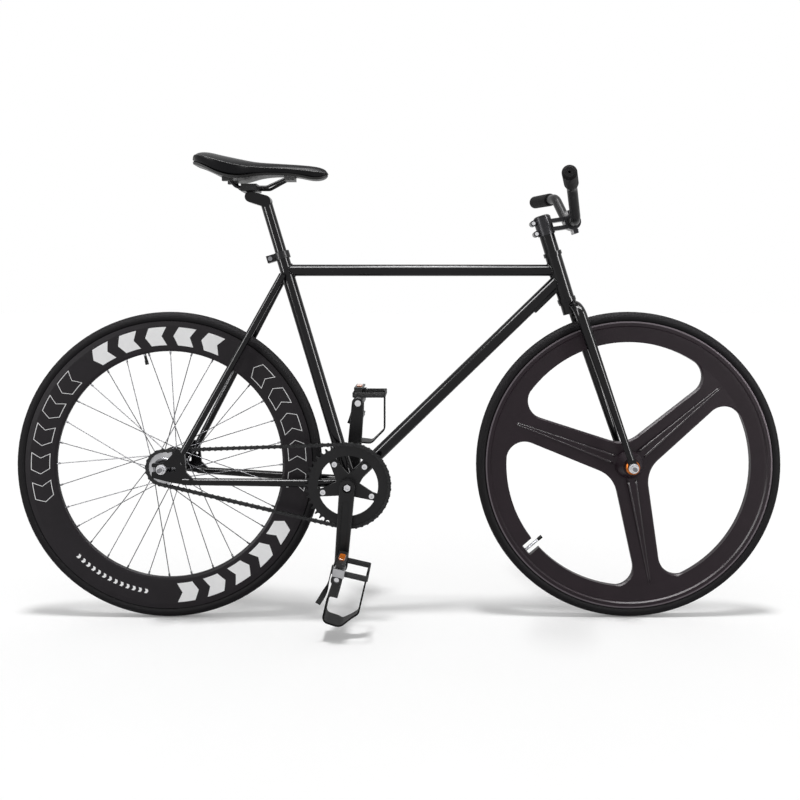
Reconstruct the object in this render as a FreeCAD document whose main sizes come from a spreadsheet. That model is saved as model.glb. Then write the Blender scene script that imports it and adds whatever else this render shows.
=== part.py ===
"""Fixed gear bike: a parametric assembly in millimetres.

X points forward, Y to the rider's left and Z up. The origin lies on the ground, midway between the axles.
"""
import FreeCAD
import Part
import math
import os
import Sketcher
from FreeCAD import Placement, Rotation, Vector

# Driving dimensions, in millimetres, degrees and counts
SIZES = {
    # Wheels and layout
    "bead_seat_diameter": 622,
    "tyre_section": 23,
    "tyre_wall": 2.6,
    "inner_tube_wall": 0.9,
    "rim_flange": 2.5,
    "rim_width": 22,
    "rim_well": 1.6,
    "bead_gap": 12,
    "bracket_drop": 38.9,
    "front_centre_past_tyre": 277,
    "seat_angle": 73.3,
    "head_angle": 73,
    "fork_rake": 23.5,
    "running_clearance": 0.05,
    "seat_clearance": 0.02,
    "side_clearance": 0.3,
    # Drive
    "chain_pitch": 12.7,
    "stay_past_tyre": 63,
    "chainring_teeth": 44,
    "cog_teeth": 18,
    "chain_line": 44,
    "tooth_thickness": 2.8,
    "tooth_height": 3.4,
    "roller_diameter": 7.75,
    "roller_clearance": 0.2,
    "tooth_flare": 1.35,
    "plate_height": 8.4,
    "plate_waist": 6.3,
    "plate_thickness": 1.05,
    "plate_gap": 0.1,
    "inner_width": 3.4,
    "pin_diameter": 3.6,
    "pin_clearance": 0.12,
    "pin_stand_out": 0.5,
    # Frame tubes
    "crown_over_tyre": 54.5,
    "head_tube_length": 96,
    "head_tube_diameter": 36,
    "head_tube_wall": 2,
    "top_tube_meet": 63.2,
    "top_tube_diameter": 25.4,
    "down_tube_diameter": 28.6,
    "down_tube_meet": 45,
    "main_tube_wall": 1.2,
    "gusset_length": 92,
    "gusset_thickness": 3,
    "gusset_width": 20,
    "seat_tube_above": 41.6,
    "seat_tube_diameter": 28.6,
    "seat_slot_width": 2.5,
    "seat_slot_length": 45,
    "bracket_shell_diameter": 40,
    "bracket_shell_width": 68,
    "bracket_shell_wall": 2.8,
    "chain_stay_front_diameter": 19,
    "chain_stay_rear_diameter": 15,
    "chain_stay_spread": 17,
    "chain_stay_fall": 26,
    "seat_stay_diameter": 15,
    "seat_stay_spread": 17,
    "seat_stay_setback": 9,
    "seat_stay_below_top_tube": 10,
    "seat_stay_rise": 35,
    "stay_wall": 1,
    "stay_cap": 14,
    "stay_end_ahead": 45,
    "dropout_thickness": 6,
    "dropout_slot_depth": 30,
    "dropout_margin": 8,
    "eyelet_diameter": 5.2,
    "rear_hub_width": 120,
    # Seat post and saddle
    "seatpost_diameter": 25.4,
    "seatpost_wall": 2,
    "seatpost_show": 116,
    "seatpost_length": 240,
    "collar_height": 16,
    "collar_wall": 3.2,
    "collar_lug": 16,
    "collar_bolt_diameter": 6,
    "clamp_setback": 32,
    "clamp_rise": 9.5,
    "clamp_drum_diameter": 24,
    "clamp_width": 58,
    "clamp_length": 34,
    "clamp_lap": 2,
    "clamp_bolt_diameter": 6,
    "clamp_bolt_head": 10,
    "rail_diameter": 7,
    "rail_spacing": 44,
    "rail_flat_behind": 28,
    "rail_flat_ahead": 38,
    "rail_rear_end": 46,
    "rail_rear_rise": 21,
    "rail_rear_spacing": 56,
    "rail_front_end": 86,
    "rail_front_rise": 24,
    "rail_front_spacing": 22,
    "rail_socket": 11,
    "pad_gap": 0.15,
    "saddle_length": 290,
    "saddle_width": 146,
    "saddle_behind": 122,
    "saddle_skin": 5,
    "saddle_shell_share": 0.86,
    # Steering
    "steerer_diameter": 28.6,
    "steerer_wall": 2.4,
    "headset_diameter": 40.6,
    "headset_height": 9,
    "headset_press_depth": 10,
    "bearing_height": 6,
    "spacer_diameter": 33.6,
    "spacer_height": 39,
    "stem_height": 40,
    "stem_wall": 5,
    "stem_width": 36,
    "stem_reach": 60.4,
    "stem_drop": 9.3,
    "stem_rail": 9,
    "stem_lug_radius": 6.5,
    "stem_lug_width": 26,
    "stem_ear": 9,
    "bolt_head_ratio": 1.6,
    "stem_split": 2,
    "stem_bolt_diameter": 5,
    "top_cap_height": 4,
    "bar_diameter": 22.2,
    "bar_clamp_diameter": 25.4,
    "bar_wall": 2,
    "bar_flat": 50,
    "bar_sleeve_length": 48,
    "bar_rise": 66.3,
    "bar_setback": 25.3,
    "bar_bend_radius": 34,
    "grip_inner_end": 145,
    "grip_outer_end": 260,
    "grip_end_rise": 72.3,
    "grip_end_setback": 48.3,
    "grip_diameter": 30,
    "grip_cap": 4,
    "grip_round": 5,
    "grip_vent_diameter": 5,
    "blade_top_diameter": 25,
    "blade_foot_diameter": 14,
    "blade_wall": 1.5,
    "blade_spread": 37,
    "blade_offset": 14,
    "blade_bend_radius": 24,
    "blade_foot_gap": 3,
    "crown_height": 26,
    "crown_diameter": 34,
    "race_height": 4,
    "fork_end_thickness": 5,
    "front_hub_width": 100,
    # Front wheel casting
    "front_wheel_angle": 40,
    "front_rim_depth": 46,
    "spoke_count": 3,
    "spoke_root_width": 70,
    "spoke_tip_width": 58,
    "spoke_tip_inset": 47.5,
    "window_root_fillet": 65,
    "window_corner_fillet": 40,
    "web_thickness": 14,
    "web_chamfer": 3,
    "rib_width": 20,
    "rib_height": 6,
    "rib_tip_height": 0.5,
    "casting_hub_diameter": 60,
    "casting_hub_end_diameter": 38,
    "brake_track": 10,
    "rim_groove": 2.5,
    "valve_notch_width": 26,
    "valve_notch_depth": 26,
    "front_axle_diameter": 9,
    "front_bearing_diameter": 26,
    "front_bearing_width": 8,
    "front_cap_diameter": 30,
    "front_cap_length": 14,
    "front_cap_round": 3,
    "axle_thread_end": 5,
    "nut_across": 15,
    "nut_height": 8,
    "nut_flange_diameter": 22,
    "nut_flange": 2,
    # Rear wheel
    "rear_rim_depth": 66,
    "rear_rim_nose": 11,
    "rim_wall": 1.8,
    "spoke_total": 32,
    "spoke_diameter": 2,
    "spoke_hole_clearance": 0.15,
    "spoke_crossings": 3,
    "nipple_length": 14,
    "nipple_diameter": 4,
    "flange_diameter": 64,
    "flange_hole_circle": 56,
    "flange_spacing": 66,
    "flange_thickness": 3,
    "hub_barrel_diameter": 34,
    "hub_thread_diameter": 35,
    "rear_axle_diameter": 10,
    "rear_bearing_diameter": 28,
    "rear_bearing_width": 9,
    "rear_locknut_diameter": 18,
    "lockring_diameter": 44,
    "lockring_height": 4,
    "rear_valve_angle": 103,
    "valve_diameter": 6,
    "valve_cap_diameter": 7.6,
    "valve_cap_length": 10,
    "rear_valve_show": 24,
    "front_valve_show": 20,
    # Crank and pedals
    "crank_angle": 265.5,
    "crank_length": 165,
    "crank_boss_diameter": 34,
    "crank_eye_diameter": 28,
    "crank_thickness": 14,
    "crank_outer_face": 72,
    "spider_thickness": 5,
    "spider_arms": 5,
    "bolt_circle": 110,
    "spider_eye_diameter": 17,
    "spider_root_diameter": 38,
    "chainring_bore": 129,
    "chainring_bolt_diameter": 8,
    "chainring_bolt_head": 11.5,
    "chainring_bolt_cap": 1.5,
    "chainring_bolt_socket": 5,
    "bracket_spindle_diameter": 17,
    "bracket_cup_flange": 3,
    "bracket_cup_depth": 12,
    "bracket_bearing_diameter": 28,
    "crank_bolt_diameter": 8,
    "crank_bolt_head": 13,
    "crank_bolt_socket": 8,
    "crank_flute_edge": 6,
    "crank_flute_depth": 2.5,
    "crank_bolt_land": 4,
    "crank_bolt_recess": 19.6,
    "pedal_spindle_diameter": 11,
    "pedal_thread_diameter": 14,
    "pedal_collar_diameter": 18,
    "pedal_gap": 4,
    "pedal_width": 88,
    "pedal_length": 68,
    "pedal_height": 20,
    "pedal_plate": 4,
    "pedal_plate_height": 14,
    "pedal_web_width": 30,
    "pedal_barrel_diameter": 23,
    "right_pedal_turn": 103,
    "left_pedal_turn": 90,
    "toe_clip_reach": 96,
    "toe_clip_rise": 58,
    "toe_clip_back": 24,
    "toe_clip_bend": 12,
    "toe_clip_thickness": 3.5,
    "toe_clip_base_width": 56,
    "toe_clip_tip_width": 24,
    "strap_width": 12,
    "strap_thickness": 2,
    "strap_tail": 76,
    "buckle_length": 22,
    "buckle_width": 16,
    "buckle_thickness": 5,
}

FORWARD = Vector(1, 0, 0)
LEFT = Vector(0, 1, 0)
RIGHT = Vector(0, -1, 0)
UP = Vector(0, 0, 1)
ORIGIN = Vector(0, 0, 0)


class Size(float):
    """A number that remembers the spreadsheet formula it comes from."""

    def __new__(cls, value, formula):
        size = super().__new__(cls, value)
        size.formula = formula
        return size

    @staticmethod
    def text(value):
        return value.formula if isinstance(value, Size) else repr(float(value))

    def joined(self, sign, other, value):
        return Size(value, f"({self.formula} {sign} {self.text(other)})")

    def __add__(self, other):
        return self.joined("+", other, float(self) + float(other))

    def __sub__(self, other):
        return self.joined("-", other, float(self) - float(other))

    def __mul__(self, other):
        return self.joined("*", other, float(self) * float(other))

    def __truediv__(self, other):
        return self.joined("/", other, float(self) / float(other))

    def __rsub__(self, other):
        return Size(float(other) - float(self), f"({self.text(other)} - {self.formula})")

    def __neg__(self):
        return Size(-float(self), f"(0 - {self.formula})")

    __radd__ = __add__
    __rmul__ = __mul__


doc = FreeCAD.newDocument("FixedGearBike")
sheet = doc.addObject("Spreadsheet::Sheet", "Sizes")
for row, (alias, number) in enumerate(SIZES.items(), 1):
    sheet.set(f"A{row}", alias)
    sheet.set(f"B{row}", str(number))
    sheet.setAlias(f"B{row}", alias)
doc.recompute()


class Sheet:
    """Reads a driving dimension from the spreadsheet by its alias."""

    def __getattr__(self, alias):
        return Size(sheet.get(alias), f"Sizes.{alias}")


S = Sheet()
NODES = []


# Helpers that add bound objects to the document
def bind(item, name, value):
    """Set a property, by its spreadsheet formula where it has one."""
    if isinstance(value, Size):
        item.setExpression(name, value.formula)
    else:
        setattr(item, name, value)


def node(name, item):
    """Give a finished sub-part the label that names its file."""
    item.Label = name
    NODES.append(item)
    return item


def unit(vector):
    return Vector(vector).normalize()


def frame_at(base, x_axis, z_axis):
    """A placement with the given X and Z directions."""
    return Placement(base, Rotation(x_axis, z_axis.cross(x_axis), z_axis, "ZXY"))


def side(base):
    """A placement whose X is forward, Y is up and Z is to the right."""
    return frame_at(base, FORWARD, RIGHT)


def along(base, direction):
    return Placement(base, Rotation(UP, direction))


def cylinder(name, radius, height, placement, low=None):
    """A cylinder along Z from height low, which is 0 unless given."""
    item = doc.addObject("Part::Cylinder", name)
    bind(item, "Radius", radius)
    bind(item, "Height", height)
    item.Placement = placement if low is None else placement * Placement(Vector(0, 0, low), Rotation())
    return item


def centred_cylinder(name, radius, height, placement):
    return cylinder(name, radius, height, placement, -height / 2)


def cone(name, low_radius, high_radius, height, placement):
    item = doc.addObject("Part::Cone", name)
    bind(item, "Radius1", low_radius)
    bind(item, "Radius2", high_radius)
    bind(item, "Height", height)
    item.Placement = placement
    return item


def box(name, sizes, placement, centre=ORIGIN):
    """A box of the given X, Y and Z sizes about a centre in the placement's frame."""
    item = doc.addObject("Part::Box", name)
    for prop, size in zip(("Length", "Width", "Height"), sizes):
        bind(item, prop, size)
    corner = centre - Vector(*sizes) / 2
    item.Placement = placement * Placement(corner, Rotation())
    return item


def torus(name, ring_radius, section_radius, placement):
    item = doc.addObject("Part::Torus", name)
    bind(item, "Radius1", ring_radius)
    bind(item, "Radius2", section_radius)
    item.Placement = placement
    return item


def prism(name, across_flats, height, placement, low):
    """A hexagonal prism along Z."""
    item = doc.addObject("Part::Prism", name)
    item.Polygon = 6
    bind(item, "Circumradius", across_flats / math.sqrt(3))
    bind(item, "Height", height)
    item.Placement = placement * Placement(Vector(0, 0, low), Rotation())
    return item


def cut(name, base, *tools):
    for tool in tools:
        item = doc.addObject("Part::Cut", name)
        item.Base = base
        item.Tool = tool
        base = item
    return base


def fuse(name, *items):
    item = doc.addObject("Part::MultiFuse", name)
    item.Shapes = list(items)
    return item


def common(name, *items):
    item = doc.addObject("Part::MultiCommon", name)
    item.Shapes = list(items)
    return item


def group(name, *items):
    """Separate solids that share one node."""
    item = doc.addObject("Part::Compound", name)
    item.Links = list(items)
    return item


def mirrored(name, source):
    """The same piece on the other side of the bike."""
    item = doc.addObject("Part::Mirroring", name)
    item.Source = source
    item.Base = ORIGIN
    item.Normal = LEFT
    return item


def both_sides(name, source):
    return group(name, source, mirrored(name + "_other_side", source))


def feature(name, shape, placement=None):
    """A shape made directly, where no primitive or sketch suits it."""
    item = doc.addObject("Part::Feature", name)
    item.Shape = shape
    if placement is not None:
        item.Placement = placement * shape.Placement
    return item


def facing(base, direction, ahead):
    """A placement whose Z is the direction and whose X leans towards `ahead`."""
    z_axis = unit(direction)
    return frame_at(base, unit(ahead - z_axis * ahead.dot(z_axis)), z_axis)


def circle(name, radius, placement):
    item = doc.addObject("Part::Circle", name)
    bind(item, "Radius", radius)
    item.Placement = placement
    return item


def rounded_path(points, radius):
    """A wire of straight runs whose corners are arcs of one radius."""
    edges = []
    start = points[0]
    for before, corner, after in zip(points, points[1:], points[2:]):
        arriving = unit(corner - before)
        leaving = unit(after - corner)
        half_turn = arriving.getAngle(leaving) / 2
        reach = radius * math.tan(half_turn)
        first = corner - arriving * reach
        last = corner + leaving * reach
        middle = corner + unit(leaving - arriving) * (radius / math.cos(half_turn) - radius)
        edges.append(Part.LineSegment(start, first).toShape())
        edges.append(Part.Arc(first, middle, last).toShape())
        start = last
    edges.append(Part.LineSegment(start, points[-1]).toShape())
    return Part.Wire(edges)


def swept(name, path, radius):
    """A round bar along a wire."""
    first = path.Edges[0]
    start = first.valueAt(first.FirstParameter)
    direction = first.tangentAt(first.FirstParameter)
    item = doc.addObject("Part::Sweep", name)
    item.Sections = [circle(name + "_section", radius, along(start, direction))]
    spine = feature(name + "_path", path)
    item.Spine = (spine, [f"Edge{i}" for i in range(1, len(path.Edges) + 1)])
    item.Solid = True
    return item


def new_sketch(body, role, name):
    """A sketch on one of the body's own origin planes."""
    sketch = body.newObject("Sketcher::SketchObject", name)
    plane = next(item for item in body.Origin.OriginFeatures if item.Role == role)
    sketch.AttachmentSupport = [(plane, "")]
    sketch.MapMode = "FlatFace"
    return sketch


def constrain(sketch, value, kind, *place):
    index = sketch.addConstraint(Sketcher.Constraint(kind, *place, float(value)))
    if isinstance(value, Size):
        sketch.setExpression(f"Constraints[{index}]", value.formula)


def draw_outline(sketch, points):
    """A closed outline of straight lines, each corner held by its two coordinates."""
    first = sketch.GeometryCount
    count = len(points)
    for index, point in enumerate(points):
        following = points[(index + 1) % count]
        sketch.addGeometry(Part.LineSegment(Vector(*point, 0), Vector(*following, 0)))
    for index in range(count):
        after = first + (index + 1) % count
        sketch.addConstraint(Sketcher.Constraint("Coincident", first + index, 2, after, 1))
    for index, (across, upward) in enumerate(points, first):
        constrain(sketch, across, "DistanceX", -1, 1, index, 1)
        constrain(sketch, upward, "DistanceY", -1, 1, index, 1)


def draw_circle(sketch, centre, radius):
    index = sketch.addGeometry(Part.Circle(Vector(*centre, 0), UP, radius))
    constrain(sketch, centre[0], "DistanceX", -1, 1, index, 3)
    constrain(sketch, centre[1], "DistanceY", -1, 1, index, 3)
    constrain(sketch, radius, "Radius", index)


def draw_link(sketch, length, near_radius, far_radius):
    """Two round ends joined by tangent lines, from the origin along X."""
    touch = math.acos((near_radius - far_radius) / length)
    near = Part.Circle(ORIGIN, UP, near_radius)
    far = Part.Circle(Vector(length, 0, 0), UP, far_radius)
    near_arc = Part.ArcOfCircle(near, touch, 2 * math.pi - touch)
    far_arc = Part.ArcOfCircle(far, -touch, touch)
    sketch.addGeometry([near_arc, far_arc,
                        Part.LineSegment(near_arc.StartPoint, far_arc.EndPoint),
                        Part.LineSegment(near_arc.EndPoint, far_arc.StartPoint)])
    for arc, arc_end, line, line_end in ((0, 1, 2, 1), (1, 2, 2, 2), (0, 2, 3, 1), (1, 1, 3, 2)):
        sketch.addConstraint(Sketcher.Constraint("Tangent", arc, arc_end, line, line_end))
    sketch.addConstraint(Sketcher.Constraint("Coincident", 0, 3, -1, 1))
    sketch.addConstraint(Sketcher.Constraint("PointOnObject", 1, 3, -1))
    constrain(sketch, length, "DistanceX", -1, 1, 1, 3)
    constrain(sketch, near_radius, "Radius", 0)
    constrain(sketch, far_radius, "Radius", 1)


def turned(name, placement, *outlines):
    """A body turned about Z from outlines of (radius, height); later outlines are hollows."""
    body = doc.addObject("PartDesign::Body", name)
    sketch = new_sketch(body, "XZ_Plane", name + "_outline")
    for outline in outlines:
        draw_outline(sketch, outline)
    turn = body.newObject("PartDesign::Revolution", name + "_turn")
    turn.Profile = sketch
    turn.ReferenceAxis = (sketch, ["V_Axis"])
    turn.Angle = 360
    body.Placement = placement
    return body


def padded(name, placement, thickness, draw, *sizes):
    """A plate of even thickness from a sketch that `draw` fills, upwards from Z = 0."""
    body = doc.addObject("PartDesign::Body", name)
    sketch = new_sketch(body, "XY_Plane", name + "_outline")
    draw(sketch, *sizes)
    pad = body.newObject("PartDesign::Pad", name + "_pad")
    pad.Profile = sketch
    bind(pad, "Length", thickness)
    body.Placement = placement
    return body


def round_edges(body, radius, chosen):
    """Round those edges of a body's last feature that `chosen` picks."""
    doc.recompute()
    base = body.Tip
    names = [f"Edge{i}" for i, edge in enumerate(base.Shape.Edges, 1) if chosen(edge)]
    fillet = body.newObject("PartDesign::Fillet", body.Name + "_round")
    fillet.Base = (base, names)
    bind(fillet, "Radius", radius)
    body.Tip = fillet
    return body


def upright(edge):
    """Picks the straight edges along Z."""
    box_ = edge.BoundBox
    return box_.XLength < 0.01 and box_.YLength < 0.01 and box_.ZLength > 0.01


def polar(radius, degrees):
    """A point in a side view, from X towards Y."""
    angle = math.radians(degrees)
    return Vector(radius * math.cos(angle), radius * math.sin(angle), 0)


def leaning_back(degrees):
    """The way up an axis at this angle to the ground behind it."""
    way = polar(1, 180 - degrees)
    return Vector(way.x, 0, way.y)


# The chain loop fixes where the rear axle sits, just clear of the tyre
WHEEL_RADIUS = S.bead_seat_diameter / 2 + S.tyre_section
STAY_LENGTH = float(WHEEL_RADIUS + S.stay_past_tyre)


def pitch_radius(teeth):
    return S.chain_pitch / 2 / math.sin(math.pi / teeth)


PITCH = float(S.chain_pitch)
RING_TEETH = int(S.chainring_teeth)
COG_TEETH = int(S.cog_teeth)
RING_RADIUS = float(pitch_radius(RING_TEETH))
COG_RADIUS = float(pitch_radius(COG_TEETH))


def chain_lean(centres):
    """How far the chain's straight runs lean towards the cog, in radians."""
    return math.asin((RING_RADIUS - COG_RADIUS) / centres)


def links_for(centres):
    """Links in a taut loop round both sprockets this far apart."""
    lean = chain_lean(centres)
    straight = 2 * centres * math.cos(lean) / PITCH
    on_ring = RING_TEETH * (0.5 + lean / math.pi)
    on_cog = COG_TEETH * (0.5 - lean / math.pi)
    return straight + on_ring + on_cog


def centres_for(links):
    """The sprocket distance that an even number of links pulls taut."""
    centres = STAY_LENGTH
    for _ in range(20):
        centres += (links - links_for(centres)) * PITCH / 2
    return centres


CHAIN_LINKS = 2 * round(links_for(STAY_LENGTH) / 2)
CHAIN_CENTRES = centres_for(CHAIN_LINKS)

# Datum points and directions
REAR_RUN = math.sqrt(CHAIN_CENTRES ** 2 - S.bracket_drop ** 2)
WHEELBASE = REAR_RUN + float(WHEEL_RADIUS + S.front_centre_past_tyre)
REAR_AXLE = Vector(-WHEELBASE / 2, 0, WHEEL_RADIUS)
FRONT_AXLE = Vector(WHEELBASE / 2, 0, WHEEL_RADIUS)
BRACKET = REAR_AXLE + Vector(REAR_RUN, 0, -S.bracket_drop)
SEAT_UP = leaning_back(S.seat_angle)
STEER_UP = leaning_back(S.head_angle)
STEER_AHEAD = Vector(STEER_UP.z, 0, -STEER_UP.x)
STEER_FOOT = FRONT_AXLE - STEER_AHEAD * S.fork_rake
HEAD_LOW = WHEEL_RADIUS + S.crown_over_tyre
TOP_TUBE_HEIGHT = (HEAD_LOW + S.top_tube_meet) * STEER_UP.z + STEER_FOOT.z
TOP_TUBE_ON_SEAT = (TOP_TUBE_HEIGHT - BRACKET.z) / SEAT_UP.z
SEAT_TUBE_LENGTH = TOP_TUBE_ON_SEAT + S.seat_tube_above
SEATPOST_TOP = SEAT_TUBE_LENGTH + S.seatpost_show


def on_seat_axis(distance):
    return BRACKET + SEAT_UP * distance


def on_steer_axis(distance, ahead=0):
    return STEER_FOOT + STEER_UP * distance + STEER_AHEAD * ahead


def steer_frame(distance, ahead=0):
    """A placement whose Z runs up the steering axis and X ahead of it."""
    return frame_at(on_steer_axis(distance, ahead), STEER_AHEAD, STEER_UP)


def tube_between(name, start, end, diameter, wall):
    """A round tube from one point to another, with square ends."""
    placement = along(start, end - start)
    length = (end - start).Length
    outer = cylinder(name + "_outer", diameter / 2, length, placement)
    inner = cylinder(name + "_bore", diameter / 2 - wall, length, placement)
    return cut(name, outer, inner)


# Frame
def frame():
    """Welded tubes, each mitred to the outside of those it meets."""
    head_low = on_steer_axis(HEAD_LOW)
    head_frame = along(head_low, STEER_UP)
    head_radius = S.head_tube_diameter / 2
    head_solid = cylinder("head_solid", head_radius, S.head_tube_length, head_frame)
    head_bore = cylinder("head_bore", head_radius - S.head_tube_wall, S.head_tube_length, head_frame)
    node("head_tube", cut("HeadTube", head_solid, head_bore))

    shell_radius = S.bracket_shell_diameter / 2
    shell_solid = centred_cylinder("shell_solid", shell_radius, S.bracket_shell_width, side(BRACKET))
    shell_bore = centred_cylinder("shell_bore", shell_radius - S.bracket_shell_wall,
                                  S.bracket_shell_width, side(BRACKET))
    node("bottom_bracket_shell", cut("BracketShell", shell_solid, shell_bore))

    seat_frame = along(BRACKET, SEAT_UP)
    seat_solid = cylinder("seat_solid", S.seat_tube_diameter / 2, SEAT_TUBE_LENGTH, seat_frame)
    seat_bore = cylinder("seat_bore", S.seatpost_diameter / 2 + S.running_clearance,
                         SEAT_TUBE_LENGTH, seat_frame)
    slot_frame = frame_at(on_seat_axis(SEAT_TUBE_LENGTH), Vector(SEAT_UP.z, 0, -SEAT_UP.x), SEAT_UP)
    slot = box("seat_slot", (S.seat_tube_diameter, S.seat_slot_width, 2 * S.seat_slot_length),
               slot_frame, Vector(-S.seat_tube_diameter / 2, 0, 0))
    node("seat_tube", cut("SeatTube", seat_solid, seat_bore, slot, shell_solid))

    top_back = on_seat_axis(TOP_TUBE_ON_SEAT)
    top_front = on_steer_axis(HEAD_LOW + S.top_tube_meet)
    top = tube_between("TopTubeRound", top_back, top_front, S.top_tube_diameter, S.main_tube_wall)
    node("top_tube", cut("TopTube", top, seat_solid, head_solid))

    down_front = on_steer_axis(HEAD_LOW + S.down_tube_meet)
    down_frame = along(BRACKET, down_front - BRACKET)
    down_length = (down_front - BRACKET).Length
    down_solid = cylinder("down_solid", S.down_tube_diameter / 2, down_length, down_frame)
    down_bore = cylinder("down_bore", S.down_tube_diameter / 2 - S.main_tube_wall, down_length, down_frame)
    gusset_frame = frame_at(down_front, unit(BRACKET - down_front), LEFT)
    gusset_drop = S.down_tube_diameter / 2 + S.gusset_thickness
    gusset = box("gusset_block", (S.gusset_length, gusset_drop, S.gusset_width), gusset_frame,
                 Vector(S.gusset_length / 2, -gusset_drop / 2, 0))
    gusset = cut("Gusset", gusset, down_solid, head_solid)
    down = cut("DownTube", down_solid, down_bore, shell_solid, seat_solid, head_solid)
    node("down_tube", group("DownTubeAndGusset", down, gusset))

    dropout = right_dropout()
    node("rear_dropouts", both_sides("RearDropouts", dropout))

    stay_side = RIGHT * (S.rear_hub_width / 2 + S.dropout_thickness / 2)
    stay_end = REAR_AXLE + stay_side + Vector(S.stay_end_ahead, 0, 0)
    chain_start = BRACKET + RIGHT * S.chain_stay_spread
    chain_end = stay_end - UP * S.chain_stay_fall
    stay = tapered_stay("chain_stay", chain_start, chain_end,
                        S.chain_stay_front_diameter / 2, S.chain_stay_rear_diameter / 2)
    chain_stay = cut("ChainStay", stay, shell_solid, seat_solid, dropout)
    node("chain_stays", both_sides("ChainStays", chain_stay))

    seat_end = on_seat_axis(TOP_TUBE_ON_SEAT - S.seat_stay_below_top_tube / SEAT_UP.z)
    seat_end = seat_end - FORWARD * S.seat_stay_setback + RIGHT * S.seat_stay_spread
    seat_start = stay_end + UP * S.seat_stay_rise
    stay = tapered_stay("seat_stay", seat_start, seat_end, S.seat_stay_diameter / 2, S.seat_stay_diameter / 2)
    node("seat_stays", both_sides("SeatStays", cut("SeatStay", stay, seat_solid, dropout)))


def tapered_stay(name, start, end, start_radius, end_radius):
    """A round stay, hollow but closed near both ends."""
    placement = along(start, end - start)
    length = (end - start).Length
    bore_placement = placement * Placement(UP * S.stay_cap, Rotation())
    bore_length = length - 2 * S.stay_cap
    if abs(start_radius - end_radius) < 0.001:
        outer = cylinder(name + "_outer", start_radius, length, placement)
        inner = cylinder(name + "_bore", start_radius - S.stay_wall, bore_length, bore_placement)
    else:
        outer = cone(name + "_outer", start_radius, end_radius, length, placement)
        inner = cone(name + "_bore", start_radius - S.stay_wall, end_radius - S.stay_wall, bore_length,
                     bore_placement)
    return cut(name, outer, inner)


def right_dropout():
    """A track end: a plate with a slot that opens to the rear and an eyelet for a mudguard."""
    half_slot = S.rear_axle_diameter / 2 + S.running_clearance
    lip = S.rear_axle_diameter * 2
    edge = S.dropout_margin
    jaw = half_slot + edge
    ahead = S.stay_end_ahead
    rise = S.seat_stay_rise
    fall = S.chain_stay_fall
    outline = [
        (-lip, half_slot), (-lip, jaw), (ahead / 8, jaw), (ahead / 2, rise - edge / 2),
        (ahead - edge, rise + edge), (ahead + edge / 2, rise + edge / 4), (ahead + edge, -jaw / 2),
        (ahead + edge * 3, -fall + edge / 2), (ahead + edge * 2.5, -fall - edge),
        (ahead / 2, -fall - edge / 4), (-lip, -jaw - edge / 2), (-lip, -half_slot),
        (S.dropout_slot_depth, -half_slot), (S.dropout_slot_depth, half_slot),
    ]
    placement = side(REAR_AXLE + RIGHT * (S.rear_hub_width / 2))
    plate = padded("dropout_plate", placement, S.dropout_thickness, draw_outline, outline)
    round_edges(plate, S.dropout_thickness / 3, upright)
    eyelet_place = placement * Placement(Vector(ahead - edge / 4, fall / 2, 0), Rotation())
    eyelet = cylinder("dropout_eyelet", S.eyelet_diameter / 2, S.dropout_thickness, eyelet_place)
    return cut("Dropout", plate, eyelet)


def bottom_bracket():
    """Screwed cups, each holding a bearing for the crank spindle."""
    half = S.bracket_shell_width / 2
    outside = half + S.bracket_cup_flange
    depth = half - S.bracket_cup_depth
    cup_radius = S.bracket_shell_diameter / 2 - S.bracket_shell_wall - S.seat_clearance
    flange_radius = S.bracket_shell_diameter / 2
    seat_radius = S.bracket_bearing_diameter / 2
    spindle_bore = S.bracket_spindle_diameter / 2 + S.running_clearance
    cup = turned("bracket_cup", side(BRACKET), [
        (seat_radius, depth), (cup_radius, depth), (cup_radius, half), (flange_radius, half),
        (flange_radius, outside), (seat_radius, outside)])
    ring = turned("bracket_bearing", side(BRACKET), [
        (spindle_bore, depth), (seat_radius - S.seat_clearance, depth),
        (seat_radius - S.seat_clearance, outside), (spindle_bore, outside)])
    node("bottom_bracket_cups", both_sides("BracketCups", group("BracketCupAndBearing", cup, ring)))


def headset():
    """Pressed cups in the head tube and the bearings that turn in them on the steerer."""
    steerer = S.steerer_diameter / 2
    bore = S.head_tube_diameter / 2 - S.head_tube_wall
    pocket = (S.headset_diameter / 2 + bore) / 2
    clear = (bore + steerer) / 2
    tall = S.headset_height
    floor = tall - S.bearing_height - 2 * S.side_clearance
    outline = [
        (clear, -S.headset_press_depth), (bore - S.seat_clearance, -S.headset_press_depth),
        (bore - S.seat_clearance, 0.0), (S.headset_diameter / 2, 0.0), (S.headset_diameter / 2, tall),
        (pocket, tall), (pocket, floor), (clear, floor)]
    ring = [
        (steerer + S.seat_clearance, floor + S.side_clearance),
        (pocket - S.running_clearance, floor + S.side_clearance),
        (pocket - S.running_clearance, tall - S.side_clearance),
        (steerer + S.seat_clearance, tall - S.side_clearance)]
    lower = frame_at(on_steer_axis(HEAD_LOW), STEER_AHEAD, -STEER_UP)
    upper = steer_frame(HEAD_LOW + S.head_tube_length)
    cups = [turned("headset_cup", place, outline) for place in (lower, upper)]
    node("headset_cups", group("HeadsetCups", *cups))
    rings = [turned("headset_bearing", place, ring) for place in (lower, upper)]
    node("headset_bearings", group("HeadsetBearings", *rings))


# Heights along the steering axis, from the foot of the front axle's perpendicular
RACE_TOP = HEAD_LOW - S.headset_height - S.side_clearance
CROWN_LOW = RACE_TOP - S.crown_height
SPACER_LOW = HEAD_LOW + S.head_tube_length + S.headset_height + S.side_clearance
STEM_LOW = SPACER_LOW + S.spacer_height
STEM_TOP = STEM_LOW + S.stem_height
STEM_MIDDLE = (STEM_LOW + STEM_TOP) / 2
BAR_CENTRE = on_steer_axis(STEM_MIDDLE - S.stem_drop, S.stem_reach)


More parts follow.
